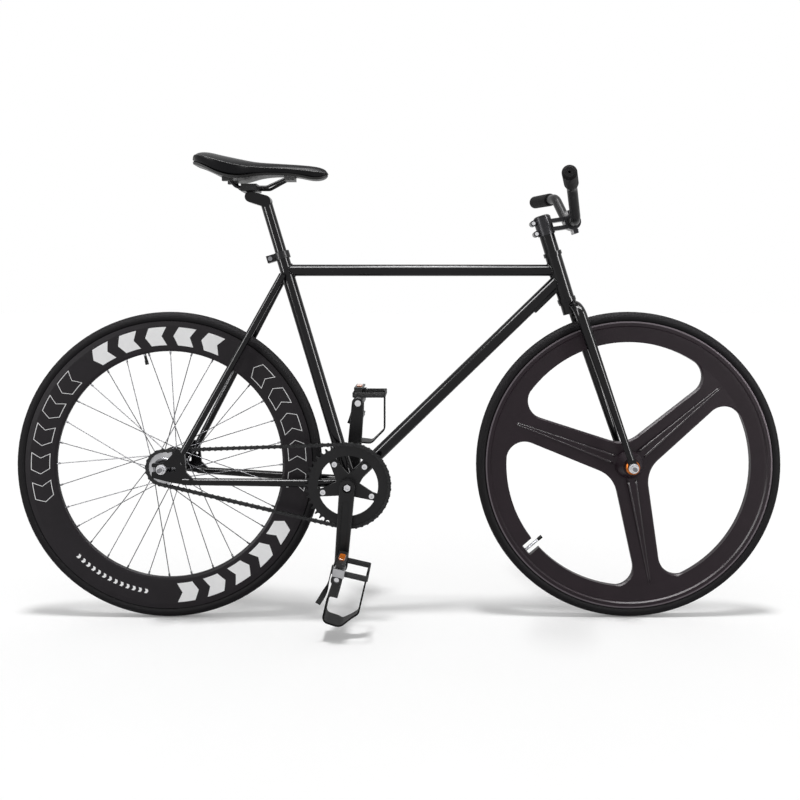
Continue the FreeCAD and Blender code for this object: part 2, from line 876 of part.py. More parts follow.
def fork():
    """A unicrown fork: steerer, two tapered blades bent in to the crown, and slotted ends."""
    radius = S.steerer_diameter / 2
    crown_radius = S.crown_diameter / 2
    race = S.headset_diameter / 2 - S.head_tube_wall / 2
    race_low = RACE_TOP - S.race_height
    steerer = turned("steerer", steer_frame(0), [
        (0.0, CROWN_LOW), (crown_radius, CROWN_LOW), (crown_radius, race_low), (race, race_low),
        (race, RACE_TOP), (radius, RACE_TOP), (radius, STEM_TOP), (radius - S.steerer_wall, STEM_TOP),
        (radius - S.steerer_wall, race_low), (0.0, race_low)])
    node("fork_steerer", steerer)

    crown = cylinder("crown_round", crown_radius, S.crown_height, steer_frame(CROWN_LOW))
    low = S.blade_foot_diameter / 2
    foot_height = S.front_cap_diameter / 2 + S.blade_foot_gap
    top = S.blade_top_diameter / 2
    shoulder = RACE_TOP - S.crown_height / 2
    corner = blade_point(shoulder, S.blade_offset, S.blade_spread)
    foot = blade_point(foot_height, S.fork_rake, S.front_hub_width / 2 + S.fork_end_thickness / 2)
    down = unit(foot - corner)
    straight = corner + down * (1.5 * S.blade_bend_radius)
    path = rounded_path([blade_point(shoulder, S.blade_offset / 2, 0), corner, straight], S.blade_bend_radius)
    bend = swept("blade_bend", path, top)
    leg_place = facing(straight, down, STEER_AHEAD)
    leg_length = (foot - straight).Length
    leg = cone("blade_leg", top, low, leg_length, leg_place)
    bore = cone("blade_bore", top - S.blade_wall, low - S.blade_wall, leg_length - S.stay_cap, leg_place)
    end_place = frame_at(FRONT_AXLE + RIGHT * (S.front_hub_width / 2), STEER_UP, RIGHT)
    plate = padded("fork_end_plate", end_place, S.fork_end_thickness, draw_link, foot_height + low,
                   S.nut_flange_diameter / 2, low)
    slot_radius = S.front_axle_diameter / 2 + S.running_clearance
    hole = cylinder("fork_end_hole", slot_radius, S.fork_end_thickness, end_place)
    mouth = box("fork_end_mouth", (S.nut_flange_diameter, 2 * slot_radius, S.fork_end_thickness), end_place,
                Vector(-S.nut_flange_diameter / 2, 0, S.fork_end_thickness / 2))
    whole = fuse("blade_whole", bend, leg, plate)
    node("fork_blades", both_sides("ForkBlades", cut("ForkBlade", whole, bore, crown, steerer, hole, mouth)))


def blade_point(height, ahead, out):
    return on_steer_axis(height, ahead) + RIGHT * out


def stem():
    """A clamp-on stem: two rails between the steerer clamp and the bar clamp, with a face plate."""
    bore = S.steerer_diameter / 2 + S.seat_clearance
    clamp_radius = S.steerer_diameter / 2 + S.stem_wall
    spacer = turned("spacer", steer_frame(SPACER_LOW), [
        (bore, 0.0), (S.spacer_diameter / 2, 0.0), (S.spacer_diameter / 2, S.spacer_height),
        (bore, S.spacer_height)])
    cap_edge = clamp_radius - S.top_cap_height / 2
    cap = turned("top_cap", steer_frame(STEM_TOP), [
        (0.0, 0.0), (cap_edge, 0.0), (cap_edge, S.top_cap_height / 2),
        (cap_edge - S.top_cap_height, S.top_cap_height), (0.0, S.top_cap_height)])
    node("headset_spacers", group("HeadsetSpacers", spacer, cap))

    bar_place = frame_at(BAR_CENTRE, STEER_AHEAD, RIGHT)
    bar_bore = S.bar_clamp_diameter / 2 + S.seat_clearance
    bar_outer = S.bar_clamp_diameter / 2 + S.stem_wall
    bolt_radius = S.stem_bolt_diameter / 2
    bolt_head = S.bolt_head_ratio * bolt_radius
    hole_radius = bolt_radius + S.seat_clearance
    half_block = (2 * bar_outer, 4 * bar_outer, 2 * S.stem_width)

    def bar_clamp(name, away):
        """One half of the split clamp round the bar; `away` is the side cut off."""
        solids = [centred_cylinder(name + "_round", bar_outer, S.stem_width, bar_place)]
        for way in (-1, 1):
            solids.append(box(name + "_ear", (2 * S.stem_wall, 2 * S.stem_ear, S.stem_width), bar_place,
                              Vector(0, way * bar_outer, 0)))
        tools = [box(name + "_split", half_block, bar_place, Vector(away * bar_outer, 0, 0)),
                 centred_cylinder(name + "_bore", bar_bore, 2 * S.stem_width, bar_place)]
        return solids, tools

    bolts = []
    bolt_holes = []
    for way in (-1, 1):
        for across in (-1, 1):
            spot = Vector(0, way * (bar_outer + bolt_head), across * S.stem_width / 4)
            place = bar_place * along(spot, FORWARD)
            bolt_holes.append(centred_cylinder("plate_bolt_hole", hole_radius, 4 * S.stem_wall, place))
            shank = centred_cylinder("plate_bolt_shank", bolt_radius, 2 * S.stem_wall, place)
            head = cylinder("plate_bolt_head", bolt_head, bolt_radius, place, S.stem_wall)
            bolts.append(fuse("plate_bolt", shank, head))
    solids, tools = bar_clamp("face_plate", -1)
    node("stem_faceplate", cut("FacePlate", fuse("face_plate_whole", *solids), *tools, *bolt_holes))

    solids, tools = bar_clamp("bar_seat", 1)
    solids.append(cylinder("stem_clamp", clamp_radius, S.stem_height, steer_frame(STEM_LOW)))
    lug_back = clamp_radius + S.stem_lug_radius / 2
    for share in (0.2, 0.8):
        place = frame_at(on_steer_axis(STEM_LOW + S.stem_height * share, -lug_back), STEER_AHEAD, RIGHT)
        solids.append(centred_cylinder("stem_lug", S.stem_lug_radius, S.stem_lug_width, place))
        bolt_holes.append(centred_cylinder("lug_bolt_hole", hole_radius, 2 * S.stem_width, place))
        shank = centred_cylinder("lug_bolt_shank", bolt_radius, S.stem_lug_width, place)
        head = cylinder("lug_bolt_head", bolt_head, bolt_radius, place, S.stem_lug_width / 2)
        bolts.append(fuse("lug_bolt", shank, head))
    middle = (on_steer_axis(STEM_MIDDLE) + BAR_CENTRE) / 2
    rail_place = frame_at(middle, unit(BAR_CENTRE - on_steer_axis(STEM_MIDDLE)), RIGHT)
    for way in (-1, 1):
        solids.append(box("stem_rail", (S.stem_reach, S.stem_rail, S.stem_lug_width), rail_place,
                          Vector(0, way * S.stem_rail, 0)))
    tools.append(cylinder("stem_steerer_bore", bore, S.stem_height, steer_frame(STEM_LOW)))
    tools.append(box("stem_split", (2 * lug_back, 2 * S.stem_height, S.stem_split),
                     frame_at(on_steer_axis(STEM_MIDDLE), STEER_AHEAD, RIGHT), Vector(-lug_back, 0, 0)))
    node("stem_body", cut("Stem", fuse("stem_whole", *solids), *tools, *bolt_holes))
    node("stem_bolts", group("StemBolts", *bolts))


def grip_line():
    """The right grip's inner and outer ends, on the bar's centre line."""
    inner = BAR_CENTRE + Vector(-S.bar_setback, -S.grip_inner_end, S.bar_rise)
    outer = BAR_CENTRE + Vector(-S.grip_end_setback, -S.grip_outer_end, S.grip_end_rise)
    return inner, outer


def handlebar():
    """A riser bar with a thicker middle where the stem grips it, and two rubber grips."""
    inner, outer = grip_line()
    grip_way = unit(outer - inner)
    bar_end = outer - grip_way * S.grip_cap
    upper_bend = inner - grip_way * S.bar_bend_radius
    lower_bend = BAR_CENTRE + RIGHT * S.bar_flat
    right_half = [lower_bend, upper_bend, bar_end]
    left_half = [Vector(p.x, -p.y, p.z) for p in reversed(right_half)]
    path = rounded_path(left_half + right_half, S.bar_bend_radius)
    sleeve = centred_cylinder("bar_sleeve", S.bar_clamp_diameter / 2, S.bar_sleeve_length, side(BAR_CENTRE))
    bar = fuse("bar_solid", swept("bar_outer", path, S.bar_diameter / 2), sleeve)
    node("handlebar", cut("Handlebar", bar, swept("bar_bore", path, S.bar_diameter / 2 - S.bar_wall)))

    length = (outer - inner).Length
    radius = S.grip_diameter / 2
    hold = S.bar_diameter / 2 + S.seat_clearance
    soft = S.grip_round
    vent = S.grip_vent_diameter / 2
    grip = turned("grip", along(inner, grip_way), [
        (hold, 0.0), (radius - soft / 3, 0.0), (radius, soft), (radius, length - soft),
        (radius - soft / 3, length - soft / 3), (radius - soft, length), (vent, length),
        (vent, length - S.grip_cap), (hold, length - S.grip_cap)])
    node("grips", both_sides("Grips", grip))


# Wheels
RIM_EDGE = S.bead_seat_diameter / 2 + S.rim_flange
TYRE_RING = S.bead_seat_diameter / 2 + S.tyre_section / 2
RIM_FLOOR = S.bead_seat_diameter / 2 - S.rim_well
TYRE_AT_EDGE = math.sqrt((S.tyre_section / 2) ** 2 - (TYRE_RING - RIM_EDGE) ** 2)
RIM_LIP = TYRE_AT_EDGE + float(S.seat_clearance)


def rim_bed():
    """The part of a rim's outline that holds the tyre, from the right edge to the left one."""
    half = S.rim_width / 2
    return [(RIM_EDGE, half), (RIM_EDGE, RIM_LIP), (RIM_FLOOR, RIM_LIP),
            (RIM_FLOOR, -RIM_LIP), (RIM_EDGE, -RIM_LIP), (RIM_EDGE, -half)]


def tyre_and_tube(name, axle, valve_angle, valve_tip):
    """A tyre open at its beads, and the inner tube with its valve inside it."""
    place = side(axle)
    section = S.tyre_section / 2
    outer = torus(name + "_tyre_outer", TYRE_RING, section, place)
    inner = torus(name + "_tyre_inside", TYRE_RING, section - S.tyre_wall, place)
    mouth = centred_cylinder(name + "_bead_gap", RIM_EDGE, S.bead_gap, place)
    node(name + "_tyre", cut(name + "Tyre", outer, inner, mouth))
    tube_radius = section - S.tyre_wall - S.side_clearance
    tube = torus(name + "_tube_outer", TYRE_RING, tube_radius, place)
    hollow = torus(name + "_tube_inside", TYRE_RING, tube_radius - S.inner_tube_wall, place)
    stem_place = place * along(polar(TYRE_RING, valve_angle), -polar(1, valve_angle))
    stem_length = TYRE_RING - valve_tip - S.valve_cap_length
    stem = cylinder(name + "_valve_stem", S.valve_diameter / 2, stem_length, stem_place)
    cap = cylinder(name + "_valve_cap", S.valve_cap_diameter / 2, S.valve_cap_length, stem_place, stem_length)
    node(name + "_inner_tube", fuse(name + "InnerTube", cut(name + "_tube", tube, hollow),
                                    cut(name + "_valve", fuse(name + "_valve_whole", stem, cap), hollow)))


def valve_hole(name, axle, valve_angle):
    place = side(axle) * along(polar(TYRE_RING, valve_angle), -polar(1, valve_angle))
    return cylinder(name, S.valve_diameter / 2 + S.side_clearance, 2 * S.rear_rim_depth, place)


def window_tool(name, placement):
    """The cutter for one opening between two cast spokes, centred on local X."""
    rim = RIM_EDGE - S.front_rim_depth
    half_pitch = math.pi / S.spoke_count
    root_radius = S.casting_hub_diameter
    along_spoke = Vector(math.cos(half_pitch), math.sin(half_pitch), 0)
    across_spoke = Vector(math.sin(half_pitch), -math.cos(half_pitch), 0)
    root = along_spoke * root_radius + across_spoke * (S.spoke_root_width / 2)
    tip = along_spoke * (rim - S.spoke_tip_inset) + across_spoke * (S.spoke_tip_width / 2)
    run = unit(tip - root)
    inward = Vector(run.y, -run.x, 0)
    big = float(S.window_root_fillet)
    small = float(S.window_corner_fillet)
    # The root arc's centre lies on local X, its radius away from the spoke's edge
    reach = (big + root.dot(inward)) / inward.x
    root_centre = Vector(reach, 0, 0)
    root_touch = root_centre - inward * big
    # The corner arc touches the spoke's edge and the inside of the rim
    base = root + inward * small
    drift = base.dot(run)
    travel = math.sqrt(drift ** 2 - base.dot(base) + (rim - small) ** 2) - drift
    corner = base + run * travel
    corner_touch = corner - inward * small
    rim_touch = unit(corner) * rim

    def below(point):
        return Vector(point.x, -point.y, 0)

    corner_middle = corner + unit(unit(corner) - inward) * small
    edges = [
        Part.Arc(below(root_touch), Vector(reach - big, 0, 0), root_touch),
        Part.LineSegment(root_touch, corner_touch),
        Part.Arc(corner_touch, corner_middle, rim_touch),
        Part.Arc(rim_touch, Vector(rim, 0, 0), below(rim_touch)),
        Part.Arc(below(rim_touch), below(corner_middle), below(corner_touch)),
        Part.LineSegment(below(corner_touch), below(root_touch)),
    ]
    wire = Part.Wire([edge.toShape() for edge in edges])
    web = float(S.web_thickness / 2)
    chamfer = float(S.web_chamfer)
    solid = Part.Face(wire).extrude(UP * (4 * web))
    solid.translate(-UP * (2 * web))
    # Each face of the web is cut back in a slope round the opening
    wide = wire.makeOffset2D(2 * chamfer)
    narrow = wire.copy()
    narrow.translate(UP * (web - chamfer))
    wide.translate(UP * (web + chamfer))
    slope = Part.makeLoft([narrow, wide], True, True)
    solid = solid.fuse([slope, slope.mirror(ORIGIN, UP)])
    return feature(name, solid, placement)


def front_wheel():
    """A cast wheel of three broad ribbed spokes on cartridge bearings."""
    place = side(FRONT_AXLE)
    half = S.rim_width / 2
    inside = RIM_EDGE - S.front_rim_depth
    web = S.web_thickness / 2
    track = RIM_EDGE - S.brake_track
    step = track - S.rim_groove
    right_face = [(step - 2 * S.rim_groove, half - S.rim_groove), (step, half - S.rim_groove), (track, half)]
    left_face = [(radius, -height) for radius, height in reversed(right_face)]
    rim = turned("casting_rim", place, rim_bed() + left_face + [(inside, -web), (inside, web)] + right_face)

    web_disc = centred_cylinder("casting_web", inside + S.rim_groove, S.web_thickness, place)
    count = int(S.spoke_count)
    angles = [S.front_wheel_angle + 360 / count * index for index in range(count)]
    halfway = 180 / count
    tools = [window_tool("casting_window", place * Placement(ORIGIN, Rotation(UP, float(angle + halfway))))
             for angle in angles]
    disc = cut("casting_spokes", web_disc, *tools)

    ribs = []
    hub_radius = S.casting_hub_diameter / 2
    for angle in angles:
        rib = doc.addObject("Part::Wedge", "casting_rib")
        tall = web + S.rib_height
        for prop, value in (("Ymin", hub_radius / 2), ("Ymax", inside), ("Xmin", -S.rib_width / 2),
                            ("Xmax", S.rib_width / 2), ("Zmin", -tall), ("Zmax", tall),
                            ("X2min", -S.rib_width / 10), ("X2max", S.rib_width / 10),
                            ("Z2min", -web - S.rib_tip_height), ("Z2max", web + S.rib_tip_height)):
            bind(rib, prop, value)
        rib.Placement = place * Placement(ORIGIN, Rotation(UP, float(angle - 90)))
        ribs.append(rib)

    hub_end = S.front_hub_width / 2 - S.front_cap_length
    end_radius = S.casting_hub_end_diameter / 2
    hub = turned("casting_hub", place, [
        (0.0, -hub_end), (end_radius, -hub_end), (hub_radius, -web - S.rib_height),
        (hub_radius, web + S.rib_height), (end_radius, hub_end), (0.0, hub_end)])
    seat_depth = hub_end - S.front_bearing_width
    seat = S.front_bearing_diameter / 2
    bore = turned("casting_bore", place, [
        (0.0, -hub_end), (seat, -hub_end), (seat, -seat_depth), (S.front_axle_diameter, -seat_depth),
        (S.front_axle_diameter, seat_depth), (seat, seat_depth), (seat, hub_end), (0.0, hub_end)])
    valve_angle = S.front_wheel_angle + 180
    notch = box("valve_notch", (2 * S.valve_notch_depth, S.valve_notch_width, S.rim_width),
                place * Placement(ORIGIN, Rotation(UP, float(valve_angle))),
                Vector(inside, 0, 0))
    whole = fuse("casting_whole", rim, disc, hub, *ribs)
    node("front_wheel_casting", cut("FrontCasting", whole, bore, notch,
                                    valve_hole("front_valve_hole", FRONT_AXLE, valve_angle)))
    tyre_and_tube("front", FRONT_AXLE, valve_angle, inside - S.front_valve_show)

    ring = turned("front_bearing", place, [
        (S.front_axle_diameter / 2 + S.running_clearance, seat_depth), (seat - S.seat_clearance, seat_depth),
        (seat - S.seat_clearance, hub_end), (S.front_axle_diameter / 2 + S.running_clearance, hub_end)])
    node("front_hub_bearings", both_sides("FrontBearings", ring))

    cap_radius = S.front_cap_diameter / 2
    cap_bore = S.front_axle_diameter / 2 + S.seat_clearance
    cap_inner = hub_end + S.side_clearance
    cap_outer = S.front_hub_width / 2
    cap = turned("front_cap", place, [
        (cap_bore, cap_inner), (cap_radius - S.front_cap_round, cap_inner),
        (cap_radius, cap_inner + S.front_cap_round), (cap_radius, cap_outer - S.front_cap_round),
        (cap_radius - S.front_cap_round, cap_outer), (cap_bore, cap_outer)])
    node("front_axle_end_caps", both_sides("FrontEndCaps", cap))
    axle_and_nuts("front", FRONT_AXLE, S.front_axle_diameter, S.front_hub_width / 2 + S.fork_end_thickness)


def axle_and_nuts(name, axle, diameter, clamped, *spacers):
    """A threaded axle whose flanged nuts clamp from `clamped` outwards; spacers share the nuts' node."""
    place = side(axle)
    reach = clamped + S.nut_flange + S.nut_height + S.axle_thread_end
    node(name + "_axle", centred_cylinder(name + "Axle", diameter / 2, 2 * reach, place))
    flange = cylinder(name + "_nut_flange", S.nut_flange_diameter / 2, S.nut_flange, place, clamped)
    hexagon = prism(name + "_nut_hex", S.nut_across, S.nut_height, place, clamped + S.nut_flange)
    crown_height = S.nut_flange + S.nut_height
    crown = cone(name + "_nut_crown", S.nut_flange_diameter / 2, S.nut_across / 2, crown_height,
                 place * Placement(UP * clamped, Rotation()))
    bore = cylinder(name + "_nut_bore", diameter / 2 + S.seat_clearance, crown_height, place, clamped)
    faced = common(name + "_nut_faced", fuse(name + "_nut_whole", flange, hexagon), crown)
    nut = cut(name + "_nut", faced, bore)
    node(name + "_axle_nuts", both_sides(name + "AxleNuts", group(name + "_axle_nut_set", nut, *spacers)))


def spoke_lines():
    """Each rear spoke's hub end, rim end and flange side, in the wheel's side view."""
    total = int(S.spoke_total)
    swing = 360 * S.spoke_crossings / (total / 2)
    lines = []
    for index in range(total):
        flange = 1 if index % 2 == 0 else -1
        trailing = 1 if index % 4 < 2 else -1
        rim_angle = 360 / total * index
        hub_angle = rim_angle - trailing * swing
        offset = flange * S.flange_spacing / 2
        face = trailing * flange * (S.flange_thickness / 2 + S.spoke_diameter / 2 + S.spoke_hole_clearance)
        hub = polar(S.flange_hole_circle / 2, hub_angle) + UP * (offset + face)
        rim = polar(RIM_EDGE - S.rear_rim_depth + S.nipple_length / 2, rim_angle)
        lines.append((hub, rim, -face))
    return lines


def rear_wheel():
    """A deep rim laced to a small-flange track hub."""
    place = side(REAR_AXLE)
    half = S.rim_width / 2
    nose = RIM_EDGE - S.rear_rim_depth
    nose_half = S.rear_rim_nose / 2
    wall = S.rim_wall
    shoulder = RIM_EDGE - S.brake_track
    # The nose is turned in short slopes, with a flat band for the spoke holes
    right_face = [(nose, nose_half / 2), (nose + nose_half / 4, nose_half * 0.85),
                  (nose + nose_half, nose_half * 1.1), (shoulder, half)]
    left_face = [(radius, -height) for radius, height in reversed(right_face)]
    right_hollow = [(nose + 2 * wall, nose_half - wall), (shoulder - wall, half - 1.5 * wall),
                    (RIM_FLOOR - wall, RIM_LIP)]
    left_hollow = [(radius, -height) for radius, height in reversed(right_hollow)]
    rim = turned("rear_rim_ring", place, rim_bed() + left_face + right_face, right_hollow + left_hollow)

    spoke_radius = float(S.spoke_diameter / 2)
    nipple_radius = float(S.nipple_diameter / 2)
    nipple_length = float(S.nipple_length)
    clearance = float(S.spoke_hole_clearance)
    flange_reach = float(S.flange_diameter / 2)
    spokes = []
    rim_holes = []
    flange_holes = []
    for hub, tip, through in spoke_lines():
        way = unit(tip - hub)
        start = tip - way * nipple_length
        elbow_length = 2 * abs(through) + spoke_radius
        elbow_way = UP * math.copysign(1, through)
        shank = Part.makeCylinder(spoke_radius, (start - hub).Length + 1, hub, way)
        nipple = Part.makeCylinder(nipple_radius, nipple_length, start, way)
        elbow = Part.makeCylinder(spoke_radius, elbow_length, hub, elbow_way)
        round_end = Part.makeSphere(spoke_radius, hub)
        head_out = 2 * abs(through) - spoke_radius + clearance
        head = Part.makeCylinder(2 * spoke_radius, spoke_radius, hub + elbow_way * head_out, elbow_way)
        spokes.append(shank.fuse([nipple, elbow, round_end, head]).removeSplitter())
        rim_holes.append(Part.makeCylinder(nipple_radius + clearance, 2 * nipple_length, start, way))
        # Each flange is drilled for the elbow and grooved where the leaning shank crosses its edge
        flange_holes.append(Part.makeCylinder(spoke_radius + clearance, elbow_length, hub, elbow_way))
        flange_holes.append(Part.makeCylinder(spoke_radius + clearance, flange_reach, hub, way))
    node("rear_spokes", feature("RearSpokes", Part.makeCompound(spokes), place))
    holes = feature("rim_spoke_holes", Part.makeCompound(rim_holes), place)
    valve = valve_hole("rear_valve_hole", REAR_AXLE, S.rear_valve_angle)
    node("rear_rim", cut("RearRim", rim, holes, valve))
    tyre_and_tube("rear", REAR_AXLE, S.rear_valve_angle, nose - S.rear_valve_show)

    inner_face = S.flange_spacing / 2 - S.flange_thickness / 2
    outer_face = S.flange_spacing / 2 + S.flange_thickness / 2
    hub_end = S.chain_line + S.tooth_thickness / 2 + S.lockring_height
    seat_depth = hub_end - S.rear_bearing_width
    seat = S.rear_bearing_diameter / 2
    thread = S.hub_thread_diameter / 2
    barrel = S.hub_barrel_diameter / 2
    flange = S.flange_diameter / 2
    right = [(barrel, inner_face), (flange, inner_face), (flange, outer_face), (thread, outer_face),
             (thread, hub_end), (seat, hub_end), (seat, seat_depth), (S.rear_axle_diameter, seat_depth)]
    left = [(radius, -height) for radius, height in reversed(right)]
    hub = turned("rear_hub_shell", place, right + left)
    drilled = feature("flange_spoke_holes", Part.makeCompound(flange_holes), place)
    node("rear_hub", cut("RearHub", hub, drilled))

    ring = turned("rear_bearing", place, [
        (S.rear_axle_diameter / 2 + S.running_clearance, seat_depth), (seat - S.seat_clearance, seat_depth),
        (seat - S.seat_clearance, hub_end), (S.rear_axle_diameter / 2 + S.running_clearance, hub_end)])
    node("rear_hub_bearings", both_sides("RearBearings", ring))
    locknut = turned("rear_locknut", place, [
        (S.rear_axle_diameter / 2 + S.seat_clearance, hub_end + S.side_clearance),
        (S.rear_locknut_diameter / 2, hub_end + S.side_clearance),
        (S.rear_locknut_diameter / 2, S.rear_hub_width / 2),
        (S.rear_axle_diameter / 2 + S.seat_clearance, S.rear_hub_width / 2)])
    clamped = S.rear_hub_width / 2 + S.dropout_thickness
    axle_and_nuts("rear", REAR_AXLE, S.rear_axle_diameter, clamped, locknut)

    hold = thread + S.seat_clearance
    lockring_radius = S.lockring_diameter / 2
    bevel = S.lockring_height / 4
    lockring = turned("lockring", place, [
        (hold, hub_end - S.lockring_height), (lockring_radius, hub_end - S.lockring_height),
        (lockring_radius, hub_end - bevel), (lockring_radius - bevel, hub_end), (hold, hub_end)])
    node("cog_lockring", lockring)
    cog_low = S.chain_line - S.tooth_thickness / 2
    cog_place = place * Placement(UP * cog_low, Rotation(UP, math.degrees(COG_PHASE)))
    cog = sprocket("cog_teeth", cog_place, S.cog_teeth, hold)
    boss_radius = lockring_radius + S.rim_wall
    boss_top = cog_low + S.tooth_thickness / 2
    boss = turned("cog_boss", place, [
        (hold, outer_face), (boss_radius, outer_face), (boss_radius, boss_top), (hold, boss_top)])
    node("rear_cog", fuse("RearCog", cog, boss))


# Drive
def chain_points():
    """Roller centres round the loop in the bike's side view, and the cog's tooth angle."""
    lean = chain_lean(CHAIN_CENTRES)
    tilt = math.atan2(float(S.bracket_drop), -REAR_RUN)
    straight = CHAIN_CENTRES * math.cos(lean) / PITCH
    ring_wrap = RING_TEETH * (0.5 + lean / math.pi)
    cog_wrap = COG_TEETH * (0.5 - lean / math.pi)
    ring_step = 2 * math.pi / RING_TEETH
    cog_step = 2 * math.pi / COG_TEETH
    ring_start = tilt + math.pi / 2 - lean
    ring_leave = ring_start + ring_step * ring_wrap
    cog_leave = ring_leave + cog_step * cog_wrap
    cog_centre = polar(CHAIN_CENTRES, math.degrees(tilt))

    def around(centre, radius, angle):
        return centre + polar(radius, math.degrees(angle))

    top_start = around(ORIGIN, RING_RADIUS, ring_leave)
    top_end = around(cog_centre, COG_RADIUS, ring_leave)
    low_start = around(cog_centre, COG_RADIUS, cog_leave)
    low_end = around(ORIGIN, RING_RADIUS, cog_leave)
    points = []
    cog_phase = None
    for index in range(CHAIN_LINKS):
        on_top = index - ring_wrap
        on_cog = on_top - straight
        on_low = on_cog - cog_wrap
        if on_top <= 0:
            points.append(around(ORIGIN, RING_RADIUS, ring_start + ring_step * index))
        elif on_cog <= 0:
            points.append(top_start + (top_end - top_start) * (on_top / straight))
        elif on_low <= 0:
            angle = ring_leave + cog_step * on_cog
            cog_phase = angle if cog_phase is None else cog_phase
            points.append(around(cog_centre, COG_RADIUS, angle))
        else:
            points.append(low_start + (low_end - low_start) * (on_low / straight))
    return points, ring_start, cog_phase


CHAIN_POINTS, RING_PHASE, COG_PHASE = chain_points()


def chain_plates(half_gap):
    """Two figure-eight side plates, `half_gap` from the middle, on a link along X."""
    radius = float(S.plate_height / 2)
    thick = float(S.plate_thickness)
    waist = float(S.plate_waist)
    low = Part.makeCylinder(radius, thick, Vector(0, 0, half_gap))
    high = Part.makeCylinder(radius, thick, Vector(PITCH, 0, half_gap))
    middle = Part.makeBox(PITCH, waist, thick, Vector(0, -waist / 2, half_gap))
    plate = low.fuse([high, middle]).removeSplitter()
    return [plate, plate.mirror(ORIGIN, UP)]


def chain():
    """A bush roller chain: inner links of plates and rollers, outer links of plates and pins."""
    half = float(S.inner_width / 2)
    thick = float(S.plate_thickness)
    pin = float(S.pin_diameter / 2)
    roller = float(S.roller_diameter / 2)
    outer_gap = half + thick + float(S.plate_gap)
    pin_half = outer_gap + thick + float(S.pin_stand_out)
    ends = (ORIGIN, FORWARD * PITCH)
    rollers = [Part.makeCylinder(roller, 2 * half, end - UP * half) for end in ends]
    bush = pin + float(S.pin_clearance)
    bores = [Part.makeCylinder(bush, 2 * pin_half, end - UP * pin_half) for end in ends]
    pins = [Part.makeCylinder(pin, 2 * pin_half, end - UP * pin_half) for end in ends]
    inner = rollers[0].fuse(rollers[1:] + chain_plates(half)).cut(bores)
    outer = pins[0].fuse(pins[1:] + chain_plates(outer_gap))
    links = []
    for index, point in enumerate(CHAIN_POINTS):
        following = CHAIN_POINTS[(index + 1) % CHAIN_LINKS]
        link = (inner, outer)[index % 2].copy()
        link.Placement = Placement(point, Rotation(FORWARD, following - point))
        links.append(link)
    node("chain", feature("Chain", Part.makeCompound(links), side(BRACKET + RIGHT * S.chain_line)))


def sprocket(name, placement, teeth, bore):
    """A toothed plate with a roller seat at angle 0, from Z = 0 up."""
    pitch = pitch_radius(teeth)
    seat = S.roller_diameter / 2 + S.roller_clearance
    tip = pitch + S.tooth_height
    body = doc.addObject("PartDesign::Body", name)
    blank = new_sketch(body, "XY_Plane", name + "_blank")
    for radius in (tip, bore):
        draw_circle(blank, (0.0, 0.0), radius)
    pad = body.newObject("PartDesign::Pad", name + "_pad")
    pad.Profile = blank
    bind(pad, "Length", S.tooth_thickness)
    gaps = []
    for kind in ("seat", "flare"):
        sketch = new_sketch(body, "XY_Plane", f"{name}_{kind}")
        if kind == "seat":
            draw_circle(sketch, (pitch, 0.0), seat)
        else:
            beyond = tip + S.roller_clearance
            flare = seat * S.tooth_flare
            draw_outline(sketch, [(pitch, seat), (pitch, -seat), (beyond, -flare), (beyond, flare)])
        pocket = body.newObject("PartDesign::Pocket", f"{name}_{kind}_pocket")
        pocket.Profile = sketch
        pocket.Type = "ThroughAll"
        pocket.Midplane = True
        gaps.append(pocket)
    pattern = body.newObject("PartDesign::PolarPattern", name + "_ring")
    pattern.Originals = gaps
    pattern.Axis = (blank, ["N_Axis"])
    pattern.Angle = 360
    bind(pattern, "Occurrences", teeth)
    body.Tip = pattern
    body.Placement = placement
    return body


def crank_frame(outward, degrees):
    """A placement at the bracket with X along a crank and Z outwards."""
    way = polar(1, degrees)
    return frame_at(BRACKET, Vector(way.x, 0, way.y), outward)


RIGHT_CRANK = crank_frame(RIGHT, S.crank_angle)
LEFT_CRANK = crank_frame(LEFT, S.crank_angle + 180)
CRANK_INNER_FACE = S.crank_outer_face - S.crank_thickness
SPINDLE_END = CRANK_INNER_FACE - S.crank_bolt_land / 2
BOLT_SEAT = CRANK_INNER_FACE + S.crank_bolt_land / 2


def crank_arm(name, place):
    """A forged arm: boss, tapered and fluted arm and pedal eye, bored for spindle, bolt and pedal."""
    inner = S.bracket_shell_width / 2 + S.bracket_cup_flange + S.side_clearance
    boss = cylinder(name + "_boss", S.crank_boss_diameter / 2, S.crank_outer_face - inner, place, inner)
    arm = padded(name + "_arm", place * Placement(UP * CRANK_INNER_FACE, Rotation()), S.crank_thickness,
                 draw_link, S.crank_length, S.crank_boss_diameter / 2, S.crank_eye_diameter / 2)
    round_edges(arm, S.crank_thickness / 4, lambda edge: edge.BoundBox.ZLength < 0.01)
    bore = cylinder(name + "_bore", S.bracket_spindle_diameter / 2 + S.seat_clearance, SPINDLE_END, place)
    shank = cylinder(name + "_bolt_hole", S.crank_bolt_diameter / 2 + S.seat_clearance,
                     S.crank_outer_face, place)
    recess = cylinder(name + "_recess", S.crank_bolt_recess / 2, S.crank_thickness, place, BOLT_SEAT)
    flute_radius = S.crank_eye_diameter / 2 - S.crank_flute_edge
    flute_length = S.crank_length - S.crank_boss_diameter - S.crank_eye_diameter
    flute_start = Vector(S.crank_boss_diameter, 0, S.crank_outer_face - S.crank_flute_depth)
    flute_place = place * Placement(flute_start, Rotation())
    flute = padded(name + "_flute", flute_place, S.crank_thickness, draw_link, flute_length, flute_radius,
                   flute_radius)
    eye_place = place * Placement(Vector(S.crank_length, 0, 0), Rotation())
    eye = cylinder(name + "_eye", S.pedal_thread_diameter / 2 + S.seat_clearance,
                   2 * S.crank_outer_face, eye_place)
    return [boss, arm], [bore, shank, recess, flute, eye]


